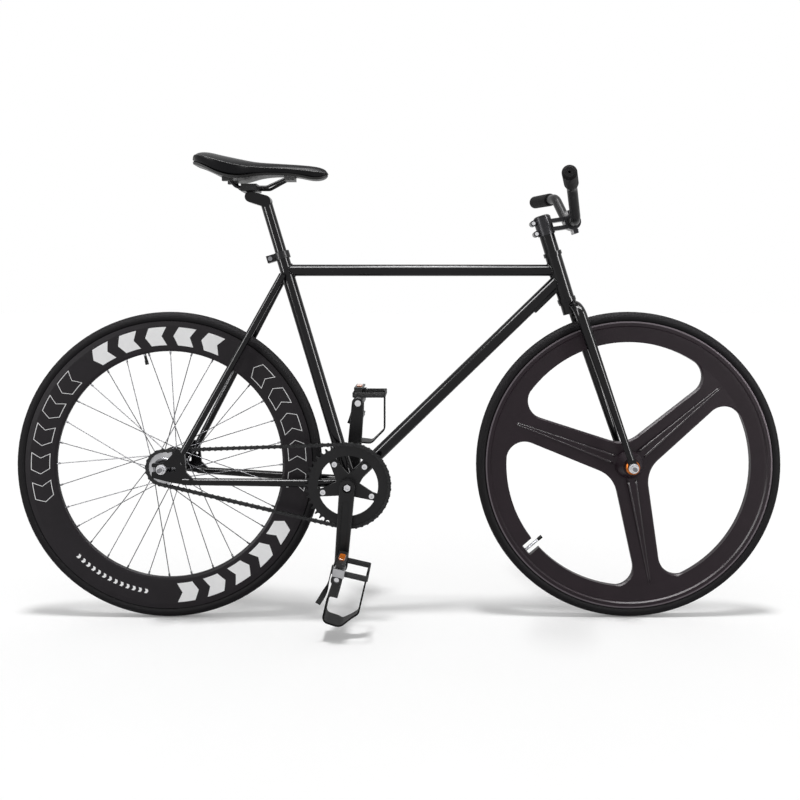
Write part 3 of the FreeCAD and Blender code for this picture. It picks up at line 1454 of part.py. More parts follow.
def crank():
    """Both cranks on one spindle, with the chainring bolted to the right one's spider."""
    solids, tools = crank_arm("right_crank", RIGHT_CRANK)
    spider_low = S.chain_line + S.tooth_thickness / 2
    arms = int(S.spider_arms)
    holes = []
    bolts = []
    tabs = []
    for index in range(arms):
        place = RIGHT_CRANK * Placement(UP * spider_low, Rotation(UP, 360 / arms * index))
        solids.append(padded("spider_arm", place, S.spider_thickness, draw_link, S.bolt_circle / 2,
                             S.spider_root_diameter / 2, S.spider_eye_diameter / 2))
        spot = place * Placement(Vector(S.bolt_circle / 2, 0, 0), Rotation())
        radius = S.chainring_bolt_diameter / 2
        span = S.tooth_thickness + S.spider_thickness
        holes.append(centred_cylinder("bolt_hole", radius + S.seat_clearance, 4 * span, spot))
        shank = cylinder("bolt_shank", radius, span, spot, -S.tooth_thickness)
        heads = [cylinder("bolt_head", S.chainring_bolt_head / 2, S.chainring_bolt_cap, spot, low)
                 for low in (S.spider_thickness, -S.tooth_thickness - S.chainring_bolt_cap)]
        key = prism("bolt_key_hole", S.chainring_bolt_socket, span, spot, S.chainring_bolt_cap)
        bolts.append(cut("ring_bolt", fuse("ring_bolt_whole", shank, *heads), key))
        tab_place = place * Placement(UP * -S.tooth_thickness, Rotation())
        tabs.append(cylinder("ring_tab", S.spider_eye_diameter / 2, S.tooth_thickness, tab_place
                             * Placement(FORWARD * (S.bolt_circle / 2), Rotation())))
        tab_middle = Vector((S.bolt_circle + S.spider_eye_diameter) / 2, 0, S.tooth_thickness / 2)
        tabs.append(box("ring_tab_root", (S.spider_eye_diameter, S.spider_eye_diameter, S.tooth_thickness),
                        tab_place, tab_middle))
    node("right_crank", cut("RightCrank", fuse("right_crank_whole", *solids), *tools, *holes))
    solids, tools = crank_arm("left_crank", LEFT_CRANK)
    node("left_crank", cut("LeftCrank", fuse("left_crank_whole", *solids), *tools))

    ring_place = side(BRACKET) * Placement(UP * (S.chain_line - S.tooth_thickness / 2),
                                           Rotation(UP, math.degrees(RING_PHASE)))
    ring = sprocket("chainring_teeth", ring_place, S.chainring_teeth, S.chainring_bore / 2)
    node("chainring", cut("Chainring", fuse("chainring_whole", ring, *tabs), *holes))
    node("chainring_bolts", group("ChainringBolts", *bolts))

    spindle = centred_cylinder("Spindle", S.bracket_spindle_diameter / 2, 2 * SPINDLE_END, side(BRACKET))
    node("bottom_bracket_spindle", spindle)
    crank_bolts = []
    spindles = []
    for place in (RIGHT_CRANK, LEFT_CRANK):
        shank = cylinder("crank_bolt_shank", S.crank_bolt_diameter / 2, BOLT_SEAT - SPINDLE_END, place,
                         SPINDLE_END)
        head = prism("crank_bolt_head", S.crank_bolt_head, S.crank_bolt_diameter, place, BOLT_SEAT)
        key = prism("crank_bolt_key_hole", S.crank_bolt_socket, S.crank_bolt_diameter, place,
                    BOLT_SEAT + S.crank_bolt_diameter / 2)
        crank_bolts.append(cut("crank_bolt", fuse("crank_bolt_whole", shank, head), key))
        eye = place * Placement(Vector(S.crank_length, 0, 0), Rotation())
        thread = cylinder("pedal_thread", S.pedal_thread_diameter / 2, S.crank_thickness, eye,
                          CRANK_INNER_FACE)
        collar = cylinder("pedal_collar", S.pedal_collar_diameter / 2, S.pedal_gap - S.side_clearance, eye,
                          S.crank_outer_face)
        shaft = cylinder("pedal_shaft", S.pedal_spindle_diameter / 2, S.pedal_width, eye, S.crank_outer_face)
        spindles.append(fuse("pedal_spindle", thread, collar, shaft))
    node("crank_bolts", group("CrankBolts", *crank_bolts))
    node("pedal_spindles", group("PedalSpindles", *spindles))


def pedal(name, crank_place, outer, degrees):
    """A caged pedal with toe clip, strap and buckle; X is its front, Y its top, Z the bike's right."""
    out = S.crank_outer_face + S.pedal_gap + S.pedal_width / 2
    front = polar(1, -degrees)
    place = frame_at(crank_place.multVec(Vector(S.crank_length, 0, out)), Vector(front.x, 0, front.y), RIGHT)
    barrel = centred_cylinder(name + "_barrel", S.pedal_barrel_diameter / 2, S.pedal_width, place)
    bars = [box(name + "_bar", (S.pedal_plate, S.pedal_height, S.pedal_width), place,
                Vector(way * (S.pedal_length - S.pedal_plate) / 2, 0, 0)) for way in (-1, 1)]
    plates = [box(name + "_plate", (S.pedal_length, S.pedal_plate_height, S.pedal_plate), place,
                  Vector(0, 0, way * (S.pedal_width - S.pedal_plate) / 2)) for way in (-1, 1)]
    web = box(name + "_web", (S.pedal_length, S.pedal_plate, S.pedal_web_width), place)
    bore = centred_cylinder(name + "_bore", S.pedal_spindle_diameter / 2 + S.running_clearance,
                            2 * S.pedal_width, place)
    node(name + "_body", cut(name + "Body", fuse(name + "_cage", barrel, *bars, *plates, web), bore))
    node(name + "_toe_clip", toe_clip(name, place))

    # The strap loops over the clip and under the barrel, behind the spindle
    thick = float(S.strap_thickness)
    high = S.toe_clip_rise + S.toe_clip_thickness / 2
    low = -S.pedal_barrel_diameter / 2 - S.side_clearance
    half = S.pedal_width / 2 + S.side_clearance
    back = S.pedal_collar_diameter / 2 + S.strap_width / 2 + S.strap_thickness
    corners = [Vector(0, low, half), Vector(0, high, half), Vector(0, high, -half), Vector(0, low, -half)]
    inside = Part.Face(rounded_loop(corners, thick))
    band = inside.makeOffset2D(thick).cut(inside).extrude(FORWARD * S.strap_width)
    band.translate(FORWARD * (-back - S.strap_width / 2))
    under = low - thick - thick / 2
    tail_path = [Vector(-back - S.strap_width / 2, under, 0), Vector(0, under, 0),
                 Vector(S.strap_tail - back, under - S.strap_width, 0)]
    tail = ribbon(rounded_path(tail_path, S.strap_tail / 2), thick, float(S.strap_width))
    tail.translate(UP * (outer * S.pedal_width / 3))
    node(name + "_toe_strap", feature(name + "Strap", Part.makeCompound([band, tail]), place))
    buckle_out = half + S.strap_thickness + S.buckle_thickness / 2
    buckle = box(name + "_buckle_plate", (S.buckle_width, S.buckle_length, S.buckle_thickness), place,
                 Vector(-back, 0, outer * buckle_out))
    roller_place = place * facing(Vector(-back, S.buckle_length / 2, outer * buckle_out), FORWARD, LEFT)
    tongue = centred_cylinder(name + "_buckle_roller", S.buckle_thickness / 2, S.buckle_width, roller_place)
    node(name + "_strap_buckle", fuse(name + "Buckle", buckle, tongue))


def ribbon(wire, thick, wide):
    """A flat strip along a wire in the XY plane, its width along Z."""
    halves = [wire.makeOffset2D(way * thick / 2, fill=True, openResult=True) for way in (-1, 1)]
    strip = halves[0].fuse(halves[1]).removeSplitter().extrude(UP * wide)
    strip.translate(UP * (-wide / 2))
    return strip


def rounded_loop(points, radius):
    """A closed wire through the points with rounded corners."""
    start = (points[0] + points[-1]) / 2
    return rounded_path([start] + points + [start], radius)


def toe_clip(name, place):
    """A bent strip from the pedal's front bar, round the toe and back over the foot."""
    front = S.pedal_length / 2 + S.toe_clip_thickness / 2
    low = -S.pedal_height / 2
    reach = S.toe_clip_reach
    rise = S.toe_clip_rise
    path = [Vector(front, -low, 0), Vector(front, low, 0), Vector(reach - S.toe_clip_thickness, low, 0),
            Vector(reach, rise / 2, 0), Vector(reach - rise / 2, rise, 0), Vector(-S.toe_clip_back, rise, 0)]
    strip = ribbon(rounded_path(path, S.toe_clip_bend), float(S.toe_clip_thickness),
                   float(S.toe_clip_base_width))
    band = feature(name + "_clip_band", strip, place)
    # Seen from the front, the clip narrows as it rises
    base = S.toe_clip_base_width / 2
    tip = S.toe_clip_tip_width / 2
    taper_place = place * Placement(FORWARD * -reach, Rotation(LEFT, 90))
    taper = padded(name + "_clip_taper", taper_place, 3 * reach, draw_outline, [
        (-base, -rise), (base, -rise), (base, rise / 3), (tip, rise - S.toe_clip_bend), (tip, 2 * rise),
        (-tip, 2 * rise), (-tip, rise - S.toe_clip_bend), (-base, rise / 3)])
    slot_start = front + S.toe_clip_bend
    slot_length = reach - slot_start - S.toe_clip_bend
    slot = box(name + "_clip_slot", (slot_length, S.pedal_height / 2, base), place,
               Vector(slot_start + slot_length / 2, low, 0))
    return cut(name + "ToeClip", common(name + "_clip_shape", band, taper), slot)


# Seat
DRUM = on_seat_axis(SEATPOST_TOP) + Vector(-S.clamp_setback, 0, S.clamp_rise)
RAIL_HEIGHT = S.clamp_drum_diameter / 2 + S.side_clearance + S.rail_diameter
# Stations along the saddle: share of its length, share of its width, then top, edge and underside heights
SADDLE_STATIONS = (
    (0.00, 0.30, 84, 79, 70), (0.035, 0.68, 95, 84, 66), (0.11, 0.92, 97, 80, 57), (0.22, 1.0, 90, 70, 42),
    (0.34, 0.88, 83, 62, 36), (0.46, 0.60, 77, 60, 42), (0.63, 0.35, 74, 60, 46), (0.80, 0.29, 71, 57, 42),
    (0.92, 0.25, 67, 53, 37), (0.98, 0.18, 61, 52, 41), (1.00, 0.08, 54, 51, 46),
)


def seat_post():
    """Split collar with its bolt, and a tubular post whose head ends in a round drum."""
    backward = Vector(-SEAT_UP.z, 0, SEAT_UP.x)
    collar_low = SEAT_TUBE_LENGTH - S.collar_height
    collar_place = frame_at(on_seat_axis(collar_low), -backward, SEAT_UP)
    outer = S.seat_tube_diameter / 2 + S.collar_wall
    lug_reach = outer + S.collar_lug
    ring = cylinder("collar_ring", outer, S.collar_height, collar_place)
    lug = box("collar_lug_block", (lug_reach, S.collar_lug, S.collar_height), collar_place,
              Vector(-lug_reach / 2, 0, S.collar_height / 2))
    hole = cylinder("collar_bore", S.seat_tube_diameter / 2 + S.seat_clearance, S.collar_height, collar_place)
    gap = box("collar_gap", (2 * lug_reach, S.seat_slot_width, S.collar_height), collar_place,
              Vector(-lug_reach, 0, S.collar_height / 2))
    bolt_spot = on_seat_axis(collar_low + S.collar_height / 2) + backward * (outer + S.collar_lug / 2)
    bolt_place = frame_at(bolt_spot, backward, RIGHT)
    bolt_radius = S.collar_bolt_diameter / 2
    drill = centred_cylinder("collar_drill", bolt_radius + S.seat_clearance, 2 * S.collar_lug, bolt_place)
    node("seat_clamp", cut("SeatClamp", fuse("collar_whole", ring, lug), hole, gap, drill))
    shank = centred_cylinder("collar_bolt_shank", bolt_radius, S.collar_lug, bolt_place)
    heads = [cylinder("collar_bolt_head", S.bolt_head_ratio * bolt_radius, bolt_radius, bolt_place, low)
             for low in (S.collar_lug / 2, -S.collar_lug / 2 - bolt_radius)]
    node("seat_clamp_bolt", fuse("SeatClampBolt", shank, *heads))

    radius = S.seatpost_diameter / 2
    top = on_seat_axis(SEATPOST_TOP)
    post_place = along(on_seat_axis(SEATPOST_TOP - S.seatpost_length), SEAT_UP)
    post = cylinder("post_round", radius, S.seatpost_length, post_place)
    hollow = cylinder("post_bore", radius - S.seatpost_wall, S.seatpost_length - S.seatpost_diameter,
                      post_place)
    neck_way = DRUM - top
    neck = padded("post_neck", frame_at(top + LEFT * radius, unit(neck_way), RIGHT), S.seatpost_diameter,
                  draw_link, neck_way.Length, radius, S.clamp_drum_diameter / 2)
    node("seatpost", fuse("Seatpost", cut("post_tube", post, hollow), neck))


def saddle_loft(name, section):
    """A solid through one wire per saddle station, in the frame of the clamp drum."""
    wires = []
    for share, wide, top, edge, under in SADDLE_STATIONS:
        ahead = float(share * S.saddle_length - S.saddle_behind)
        wires.append(section(ahead, float(wide * S.saddle_width / 2), top, edge, under))
    return feature(name, Part.makeLoft(wires, True), Placement(DRUM, Rotation()))


def saddle():
    """Padded top on a stiff shell, carried by two bent rails in a clamp that tilts on the drum."""
    skin = float(S.saddle_skin)
    shell_share = float(S.saddle_shell_share)

    def pad_section(ahead, half, top, edge, under):
        corners = [Vector(ahead, half, edge), Vector(ahead, half * shell_share, under + skin),
                   Vector(ahead, -half * shell_share, under + skin), Vector(ahead, -half, edge)]
        crown = Part.Arc(corners[3], Vector(ahead, 0, top), corners[0]).toShape()
        lines = [Part.LineSegment(a, b).toShape() for a, b in zip(corners, corners[1:])]
        return Part.Wire([crown] + lines)

    def shell_section(ahead, half, top, edge, under):
        wide = half * shell_share
        narrow = wide * shell_share
        rest = under + skin - 2 * float(S.pad_gap)
        corners = [(wide, rest), (narrow, under), (-narrow, under), (-wide, rest)]
        return Part.makePolygon([Vector(ahead, *corner) for corner in corners + corners[:1]])

    place = Placement(DRUM, Rotation())
    pad = saddle_loft("SaddlePad", pad_section)
    node("saddle_pad", pad)
    pad_room = feature("pad_room", pad.Shape, Placement(UP * -S.pad_gap, Rotation()))
    rods = [saddle_rail(way) for way in (-1, 1)]
    node("saddle_rails", group("SaddleRails", *rods))
    socket = S.rail_socket
    rear_high = RAIL_HEIGHT + S.rail_rear_rise
    front_high = RAIL_HEIGHT + S.rail_front_rise
    sockets = [box("rear_socket", (2 * socket, socket, socket), place,
                   Vector(-S.rail_rear_end, way * S.rail_rear_spacing / 2, rear_high - socket / 4))
               for way in (-1, 1)]
    sockets.append(box("front_socket", (2 * socket, S.rail_front_spacing + socket, socket), place,
                       Vector(S.rail_front_end, 0, front_high - socket / 4)))
    shell = fuse("shell_whole", saddle_loft("shell_plate", shell_section), *sockets)
    node("saddle_shell", cut("SaddleShell", shell, pad_room, *rods))

    # The cradle rocks on the drum, and the bridge holds the rails down on it
    seat_radius = S.clamp_drum_diameter / 2 + S.running_clearance
    seat = centred_cylinder("clamp_seat", seat_radius, 2 * S.clamp_width, side(DRUM))
    low = S.clamp_drum_diameter / 2 - S.clamp_lap
    cradle = box("cradle_block", (S.clamp_length, S.clamp_width, RAIL_HEIGHT - low), place,
                 UP * ((RAIL_HEIGHT + low) / 2))
    # Ahead of the drum the cradle is flat, so that it clears the post's neck as it tilts
    relief = box("cradle_relief", (S.clamp_length, 2 * S.clamp_width, 2 * seat_radius), place,
                 FORWARD * (S.clamp_length / 2))
    bridge = box("bridge_block", (S.clamp_length, S.clamp_width, S.rail_diameter), place,
                 UP * (RAIL_HEIGHT + S.rail_diameter / 2))
    bolt_radius = S.clamp_bolt_diameter / 2
    drill = cylinder("clamp_drill", bolt_radius + S.seat_clearance, 4 * S.rail_diameter, place,
                     RAIL_HEIGHT - S.rail_diameter / 2)
    node("saddle_clamp", group("SaddleClamp", cut("ClampCradle", cradle, seat, relief, drill, *rods),
                               cut("ClampBridge", bridge, drill, *rods)))
    shank = cylinder("clamp_bolt_shank", bolt_radius, 1.5 * S.rail_diameter, place,
                     RAIL_HEIGHT - S.rail_diameter / 2)
    head = prism("clamp_bolt_head", S.clamp_bolt_head, bolt_radius, place, RAIL_HEIGHT + S.rail_diameter)
    node("saddle_clamp_bolt", fuse("SaddleClampBolt", shank, head))


def saddle_rail(way):
    """One rail, flat in the clamp and bent up to its sockets at both ends."""
    flat = way * S.rail_spacing / 2
    points = [Vector(-S.rail_rear_end, way * S.rail_rear_spacing / 2, RAIL_HEIGHT + S.rail_rear_rise),
              Vector(-S.rail_flat_behind, flat, RAIL_HEIGHT), Vector(S.rail_flat_ahead, flat, RAIL_HEIGHT),
              Vector(S.rail_front_end, way * S.rail_front_spacing / 2, RAIL_HEIGHT + S.rail_front_rise)]
    path = rounded_path([DRUM + point for point in points], 2 * S.rail_diameter)
    return swept("saddle_rail", path, S.rail_diameter / 2)


def check_and_write():
    """Stop on any failed object or shape, then write one file per sub-part."""
    doc.recompute()
    failed = [item.Label for item in doc.Objects if {"Invalid", "Error"} & set(item.State)]
    failed += [item.Label for item in NODES if item.Shape.isNull() or not item.Shape.isValid()]
    if failed:
        raise RuntimeError("failed: " + ", ".join(failed))
    os.makedirs("parts", exist_ok=True)
    for item in NODES:
        item.Shape.exportStep(f"parts/{item.Label}.step")


frame()
bottom_bracket()
headset()
fork()
stem()
handlebar()
front_wheel()
rear_wheel()
chain()
crank()
pedal("right_pedal", RIGHT_CRANK, 1, S.right_pedal_turn)
pedal("left_pedal", LEFT_CRANK, -1, S.left_pedal_turn)
seat_post()
saddle()
check_and_write()
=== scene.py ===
"""Looks of the fixed gear bike: materials, soft pieces, light and camera.

Metres, in the CAD model's frame: +X is forward, +Y is to the rider's left and +Z is up.
"""
import math

import bmesh
import bpy
from mathutils import Matrix, Vector

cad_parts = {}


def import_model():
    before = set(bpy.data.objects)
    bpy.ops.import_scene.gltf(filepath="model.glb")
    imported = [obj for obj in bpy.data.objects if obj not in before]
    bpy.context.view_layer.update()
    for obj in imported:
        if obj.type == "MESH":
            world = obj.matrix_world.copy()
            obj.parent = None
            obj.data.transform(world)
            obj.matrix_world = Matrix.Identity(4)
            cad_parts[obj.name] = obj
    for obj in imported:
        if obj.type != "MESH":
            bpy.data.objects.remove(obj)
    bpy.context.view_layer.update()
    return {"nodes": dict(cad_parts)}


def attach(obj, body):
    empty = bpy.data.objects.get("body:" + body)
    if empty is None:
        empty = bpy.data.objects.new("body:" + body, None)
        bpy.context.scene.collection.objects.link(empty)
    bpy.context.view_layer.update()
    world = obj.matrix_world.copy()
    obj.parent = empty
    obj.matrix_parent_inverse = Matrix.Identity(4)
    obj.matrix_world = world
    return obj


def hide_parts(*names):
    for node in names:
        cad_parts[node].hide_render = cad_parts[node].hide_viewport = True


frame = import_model()
NODES = frame["nodes"]
MM = 0.001
FORWARD = Vector((1, 0, 0))
LEFTWARD = Vector((0, 1, 0))
UPWARD = Vector((0, 0, 1))

# Points, directions and sizes that the CAD model fixes
REAR_AXLE = Vector((-0.502825, 0, 0.334))
FRONT_AXLE = Vector((0.502825, 0, 0.334))
BRACKET = Vector((-0.108175, 0, 0.2951))
STEER_FOOT = Vector((0.480352, 0, 0.327129))
STEER_UP = Vector((-0.292372, 0, 0.956305))
SEAT_UP = Vector((-0.287361, 0, 0.957822))
DRUM = Vector((-0.324660, 0, 0.919522))
RIGHT_PEDAL = Vector((-0.121121, -0.12, 0.130609))
LEFT_PEDAL = Vector((-0.095229, 0.12, 0.459591))
RIM_OUTSIDE = 313.5 * MM
TREAD_INSIDE = 330.5 * MM


# Materials
class Surface:
    """A Principled material and short names for the nodes that vary it; keywords set its sockets."""

    def __init__(self, name, **sockets):
        self.material = bpy.data.materials.new(name)
        self.material.use_nodes = True
        self.tree = self.material.node_tree
        self.shader = self.tree.nodes["Principled BSDF"]
        for key, value in sockets.items():
            title = key.replace("_", " ").title().replace("Ior", "IOR")
            self.shader.inputs[title].default_value = value
        self.place = self.tree.nodes.new("ShaderNodeTexCoord").outputs["Object"]

    def join(self, value, socket):
        if isinstance(value, bpy.types.NodeSocket):
            self.tree.links.new(value, socket)
        else:
            socket.default_value = value

    def math(self, operation, *values):
        item = self.tree.nodes.new("ShaderNodeMath")
        item.operation = operation
        for value, socket in zip(values, item.inputs):
            self.join(value, socket)
        return item.outputs[0]

    def parts(self, vector):
        item = self.tree.nodes.new("ShaderNodeSeparateXYZ")
        self.join(vector, item.inputs[0])
        return item.outputs

    def noise(self, scale, detail=3.0, place=None):
        item = self.tree.nodes.new("ShaderNodeTexNoise")
        item.inputs["Scale"].default_value = scale
        item.inputs["Detail"].default_value = detail
        self.join(place or self.place, item.inputs["Vector"])
        return item.outputs["Fac"]

    def cells(self, scale):
        """Distance to the nearest point of a scatter, for a leather grain."""
        item = self.tree.nodes.new("ShaderNodeTexVoronoi")
        item.inputs["Scale"].default_value = scale
        self.join(self.place, item.inputs["Vector"])
        return item.outputs["Distance"]

    def stretched(self, *factors):
        """The place, squeezed along each axis, for streaks."""
        item = self.tree.nodes.new("ShaderNodeVectorMath")
        item.operation = "MULTIPLY"
        item.inputs[1].default_value = factors
        self.join(self.place, item.inputs[0])
        return item.outputs[0]

    def waves(self, value, pitch):
        """A sine wave, from -1 to 1, that repeats every `pitch`."""
        return self.math("SINE", self.math("MULTIPLY", value, 2 * math.pi / pitch))

    def lifted(self, wave):
        """A -1 to 1 value as one from 0 to 1."""
        return self.math("MULTIPLY_ADD", wave, 0.5, 0.5)

    def between(self, value, low, high):
        """1 where low < value < high, else 0."""
        above = self.math("GREATER_THAN", value, low)
        below = self.math("LESS_THAN", value, high)
        return self.math("MULTIPLY", above, below)

    def spread(self, value, low, high):
        """A 0 to 1 value as one from low to high."""
        return self.math("MULTIPLY_ADD", value, high - low, low)

    def mixed(self, factor, first, second):
        item = self.tree.nodes.new("ShaderNodeMix")
        item.data_type = "RGBA"
        self.join(factor, item.inputs["Factor"])
        for socket, color in zip(("A", "B"), (first, second)):
            value = color if isinstance(color, bpy.types.NodeSocket) else (*color, 1)
            self.join(value, next(s for s in item.inputs if s.name == socket and s.type == "RGBA"))
        return next(s for s in item.outputs if s.type == "RGBA")

    def color(self, value):
        self.join(value, self.shader.inputs["Base Color"])

    def roughness(self, value):
        self.join(value, self.shader.inputs["Roughness"])

    def metallic(self, value):
        self.join(value, self.shader.inputs["Metallic"])

    def bump(self, height, distance, strength=0.5):
        item = self.tree.nodes.new("ShaderNodeBump")
        item.inputs["Strength"].default_value = strength
        item.inputs["Distance"].default_value = distance
        self.join(height, item.inputs["Height"])
        self.join(item.outputs[0], self.shader.inputs["Normal"])

    def around(self, centre):
        """Radius and angle in degrees about a wheel's centre, in the side view."""
        x, _, z = self.parts(self.place)
        ahead = self.math("SUBTRACT", x, centre.x)
        upward = self.math("SUBTRACT", z, centre.z)
        squares = [self.math("POWER", run, 2.0) for run in (ahead, upward)]
        radius = self.math("SQRT", self.math("ADD", *squares))
        return radius, self.math("DEGREES", self.math("ARCTAN2", upward, ahead))


def varied(name, dark, light, cloud, rough, grain, depth, **sockets):
    """A surface whose colour, roughness and fine relief all vary with noise.

    `cloud` and `grain` are noise scales, `rough` is a range and `depth` is the relief's height.
    """
    finer = 3
    surface = Surface(name, **sockets)
    surface.color(surface.mixed(surface.noise(cloud), dark, light))
    surface.roughness(surface.spread(surface.noise(cloud * finer), *rough))
    surface.bump(surface.noise(grain, detail=2.0), depth)
    return surface


def frame_paint():
    """Gloss black lacquer with a faint orange-peel surface."""
    return varied("gloss_black_paint", dark=(0.003, 0.0027, 0.0034), light=(0.006, 0.0054, 0.0066),
                  cloud=14, rough=(0.14, 0.24), grain=260, depth=0.004 * MM,
                  specular_ior_level=0.10, coat_weight=0.20, coat_roughness=0.08)


def satin_alloy():
    """Bead-blasted black anodised alloy."""
    return varied("satin_black_alloy", dark=(0.004, 0.004, 0.0045), light=(0.010, 0.0095, 0.0105),
                  cloud=30, rough=(0.26, 0.38), grain=2600, depth=0.06 * MM, specular_ior_level=0.2)


def gray_alloy():
    """The dark grey sheen of the stem."""
    return varied("dark_gray_alloy", dark=(0.012, 0.012, 0.014), light=(0.026, 0.025, 0.028),
                  cloud=40, rough=(0.24, 0.34), grain=2200, depth=0.05 * MM,
                  metallic=0.35, specular_ior_level=0.25)


def plated_steel(name, dark, light):
    """Plated steel with fine turning marks."""
    surface = Surface(name, metallic=1.0)
    marks = surface.noise(scale=900, detail=2.0, place=surface.stretched(1, 0.15, 1))
    surface.color(surface.mixed(surface.noise(scale=60), dark, light))
    surface.roughness(surface.spread(marks, low=0.16, high=0.34))
    surface.bump(marks, distance=0.04 * MM)
    return surface


def chain_steel():
    """Blackened links with worn, brighter spots."""
    dark = (0.010, 0.010, 0.011)
    worn = (0.10, 0.10, 0.10)
    contrast = 3.0
    surface = Surface("chain_steel", metallic=0.6, specular_ior_level=0.2)
    wear = surface.math("POWER", surface.noise(scale=420), contrast)
    surface.color(surface.mixed(wear, dark, worn))
    surface.roughness(surface.spread(surface.noise(scale=800), low=0.25, high=0.45))
    surface.bump(surface.noise(scale=2400), distance=0.05 * MM)
    return surface


def spoke_steel():
    """Dark grey drawn wire."""
    return varied("spoke_steel", dark=(0.05, 0.05, 0.055), light=(0.11, 0.11, 0.115),
                  cloud=40, rough=(0.22, 0.34), grain=1500, depth=0.03 * MM, metallic=0.8)


def orange_alloy():
    return varied("orange_anodised", dark=(0.30, 0.075, 0.012), light=(0.52, 0.15, 0.022),
                  cloud=50, rough=(0.22, 0.34), grain=1600, depth=0.04 * MM, metallic=0.9)


def grip_rubber():
    return varied("grip_rubber", dark=(0.003, 0.0027, 0.003), light=(0.007, 0.006, 0.0065),
                  cloud=60, rough=(0.55, 0.75), grain=1400, depth=0.1 * MM, specular_ior_level=0.05)


def amber_lens():
    return varied("amber_lens", dark=(0.55, 0.12, 0.004), light=(0.75, 0.20, 0.01),
                  cloud=300, rough=(0.12, 0.25), grain=700, depth=0.3 * MM, coat_weight=1.0)


def moulded_plastic(name, dark, light, shine):
    return varied(name, dark, light, cloud=40, rough=(0.36, 0.5), grain=1800, depth=0.08 * MM,
                  specular_ior_level=shine)


def saddle_vinyl():
    """Smooth vinyl with a fine leather grain."""
    dark = (0.004, 0.004, 0.005)
    light = (0.010, 0.010, 0.011)
    surface = Surface("saddle_vinyl", specular_ior_level=0.06, coat_weight=0.03, coat_roughness=0.2)
    grain = surface.cells(scale=900)
    surface.color(surface.mixed(surface.noise(scale=25), dark, light))
    surface.roughness(surface.spread(surface.noise(scale=50), low=0.30, high=0.42))
    surface.bump(grain, distance=0.03 * MM, strength=0.3)
    return surface


def webbing():
    """Woven strap: two sets of fine threads that cross."""
    dark = (0.006, 0.006, 0.006)
    light = (0.022, 0.022, 0.023)
    pitch = 1.4 * MM
    surface = Surface("strap_webbing", roughness=0.7, specular_ior_level=0.2)
    x, y, z = surface.parts(surface.place)
    warp = surface.waves(surface.math("ADD", x, z), pitch)
    weft = surface.waves(surface.math("ADD", y, z), pitch)
    threads = surface.lifted(surface.math("MULTIPLY", warp, weft))
    surface.color(surface.mixed(threads, dark, light))
    surface.bump(threads, distance=0.3 * MM)
    return surface


def tyre_rubber(name, centre):
    """Matte rubber: fine rings on the sidewalls and a dusty tread with fine slanted cuts."""
    clean = (0.008, 0.0073, 0.0083)
    dusty = (0.016, 0.0145, 0.016)
    ring_pitch = 1.6 * MM
    degrees_per_metre = 120.0
    phase_per_degree = 4.0
    surface = Surface(name, specular_ior_level=0.06)
    radius, angle = surface.around(centre)
    tread = surface.math("GREATER_THAN", radius, TREAD_INSIDE)
    sidewall = surface.math("SUBTRACT", 1.0, tread)
    rings = surface.waves(radius, ring_pitch)
    _, y, _ = surface.parts(surface.place)
    slant = surface.math("MULTIPLY_ADD", surface.math("ABSOLUTE", y), degrees_per_metre, angle)
    cuts = surface.math("SINE", surface.math("MULTIPLY", slant, phase_per_degree))
    relief = surface.math("ADD", surface.math("MULTIPLY", sidewall, rings),
                          surface.math("MULTIPLY", tread, cuts))
    dust = surface.math("MULTIPLY", tread, surface.noise(scale=90))
    surface.color(surface.mixed(dust, clean, dusty))
    surface.roughness(surface.spread(surface.noise(scale=200), low=0.55, high=0.75))
    surface.bump(surface.lifted(relief), distance=0.2 * MM, strength=0.3)
    return surface


def casting(name, coat):
    """Satin composite with a plum tint and a machined brake band beside the tyre."""
    dark = (0.009, 0.0040, 0.0070)
    light = (0.018, 0.0095, 0.0145)
    machined = (0.075, 0.065, 0.072)
    band_inside = RIM_OUTSIDE - 3.5 * MM
    band_outside = RIM_OUTSIDE - 0.5 * MM
    surface = Surface(name, specular_ior_level=0.1, coat_weight=coat, coat_roughness=0.22)
    radius, _ = surface.around(FRONT_AXLE)
    band = surface.between(radius, band_inside, band_outside)
    body = surface.mixed(surface.noise(scale=18), dark, light)
    surface.color(surface.mixed(band, body, machined))
    surface.metallic(band)
    surface.roughness(surface.spread(surface.noise(scale=300), low=0.34, high=0.48))
    surface.bump(surface.noise(scale=1800), distance=0.08 * MM)
    return surface


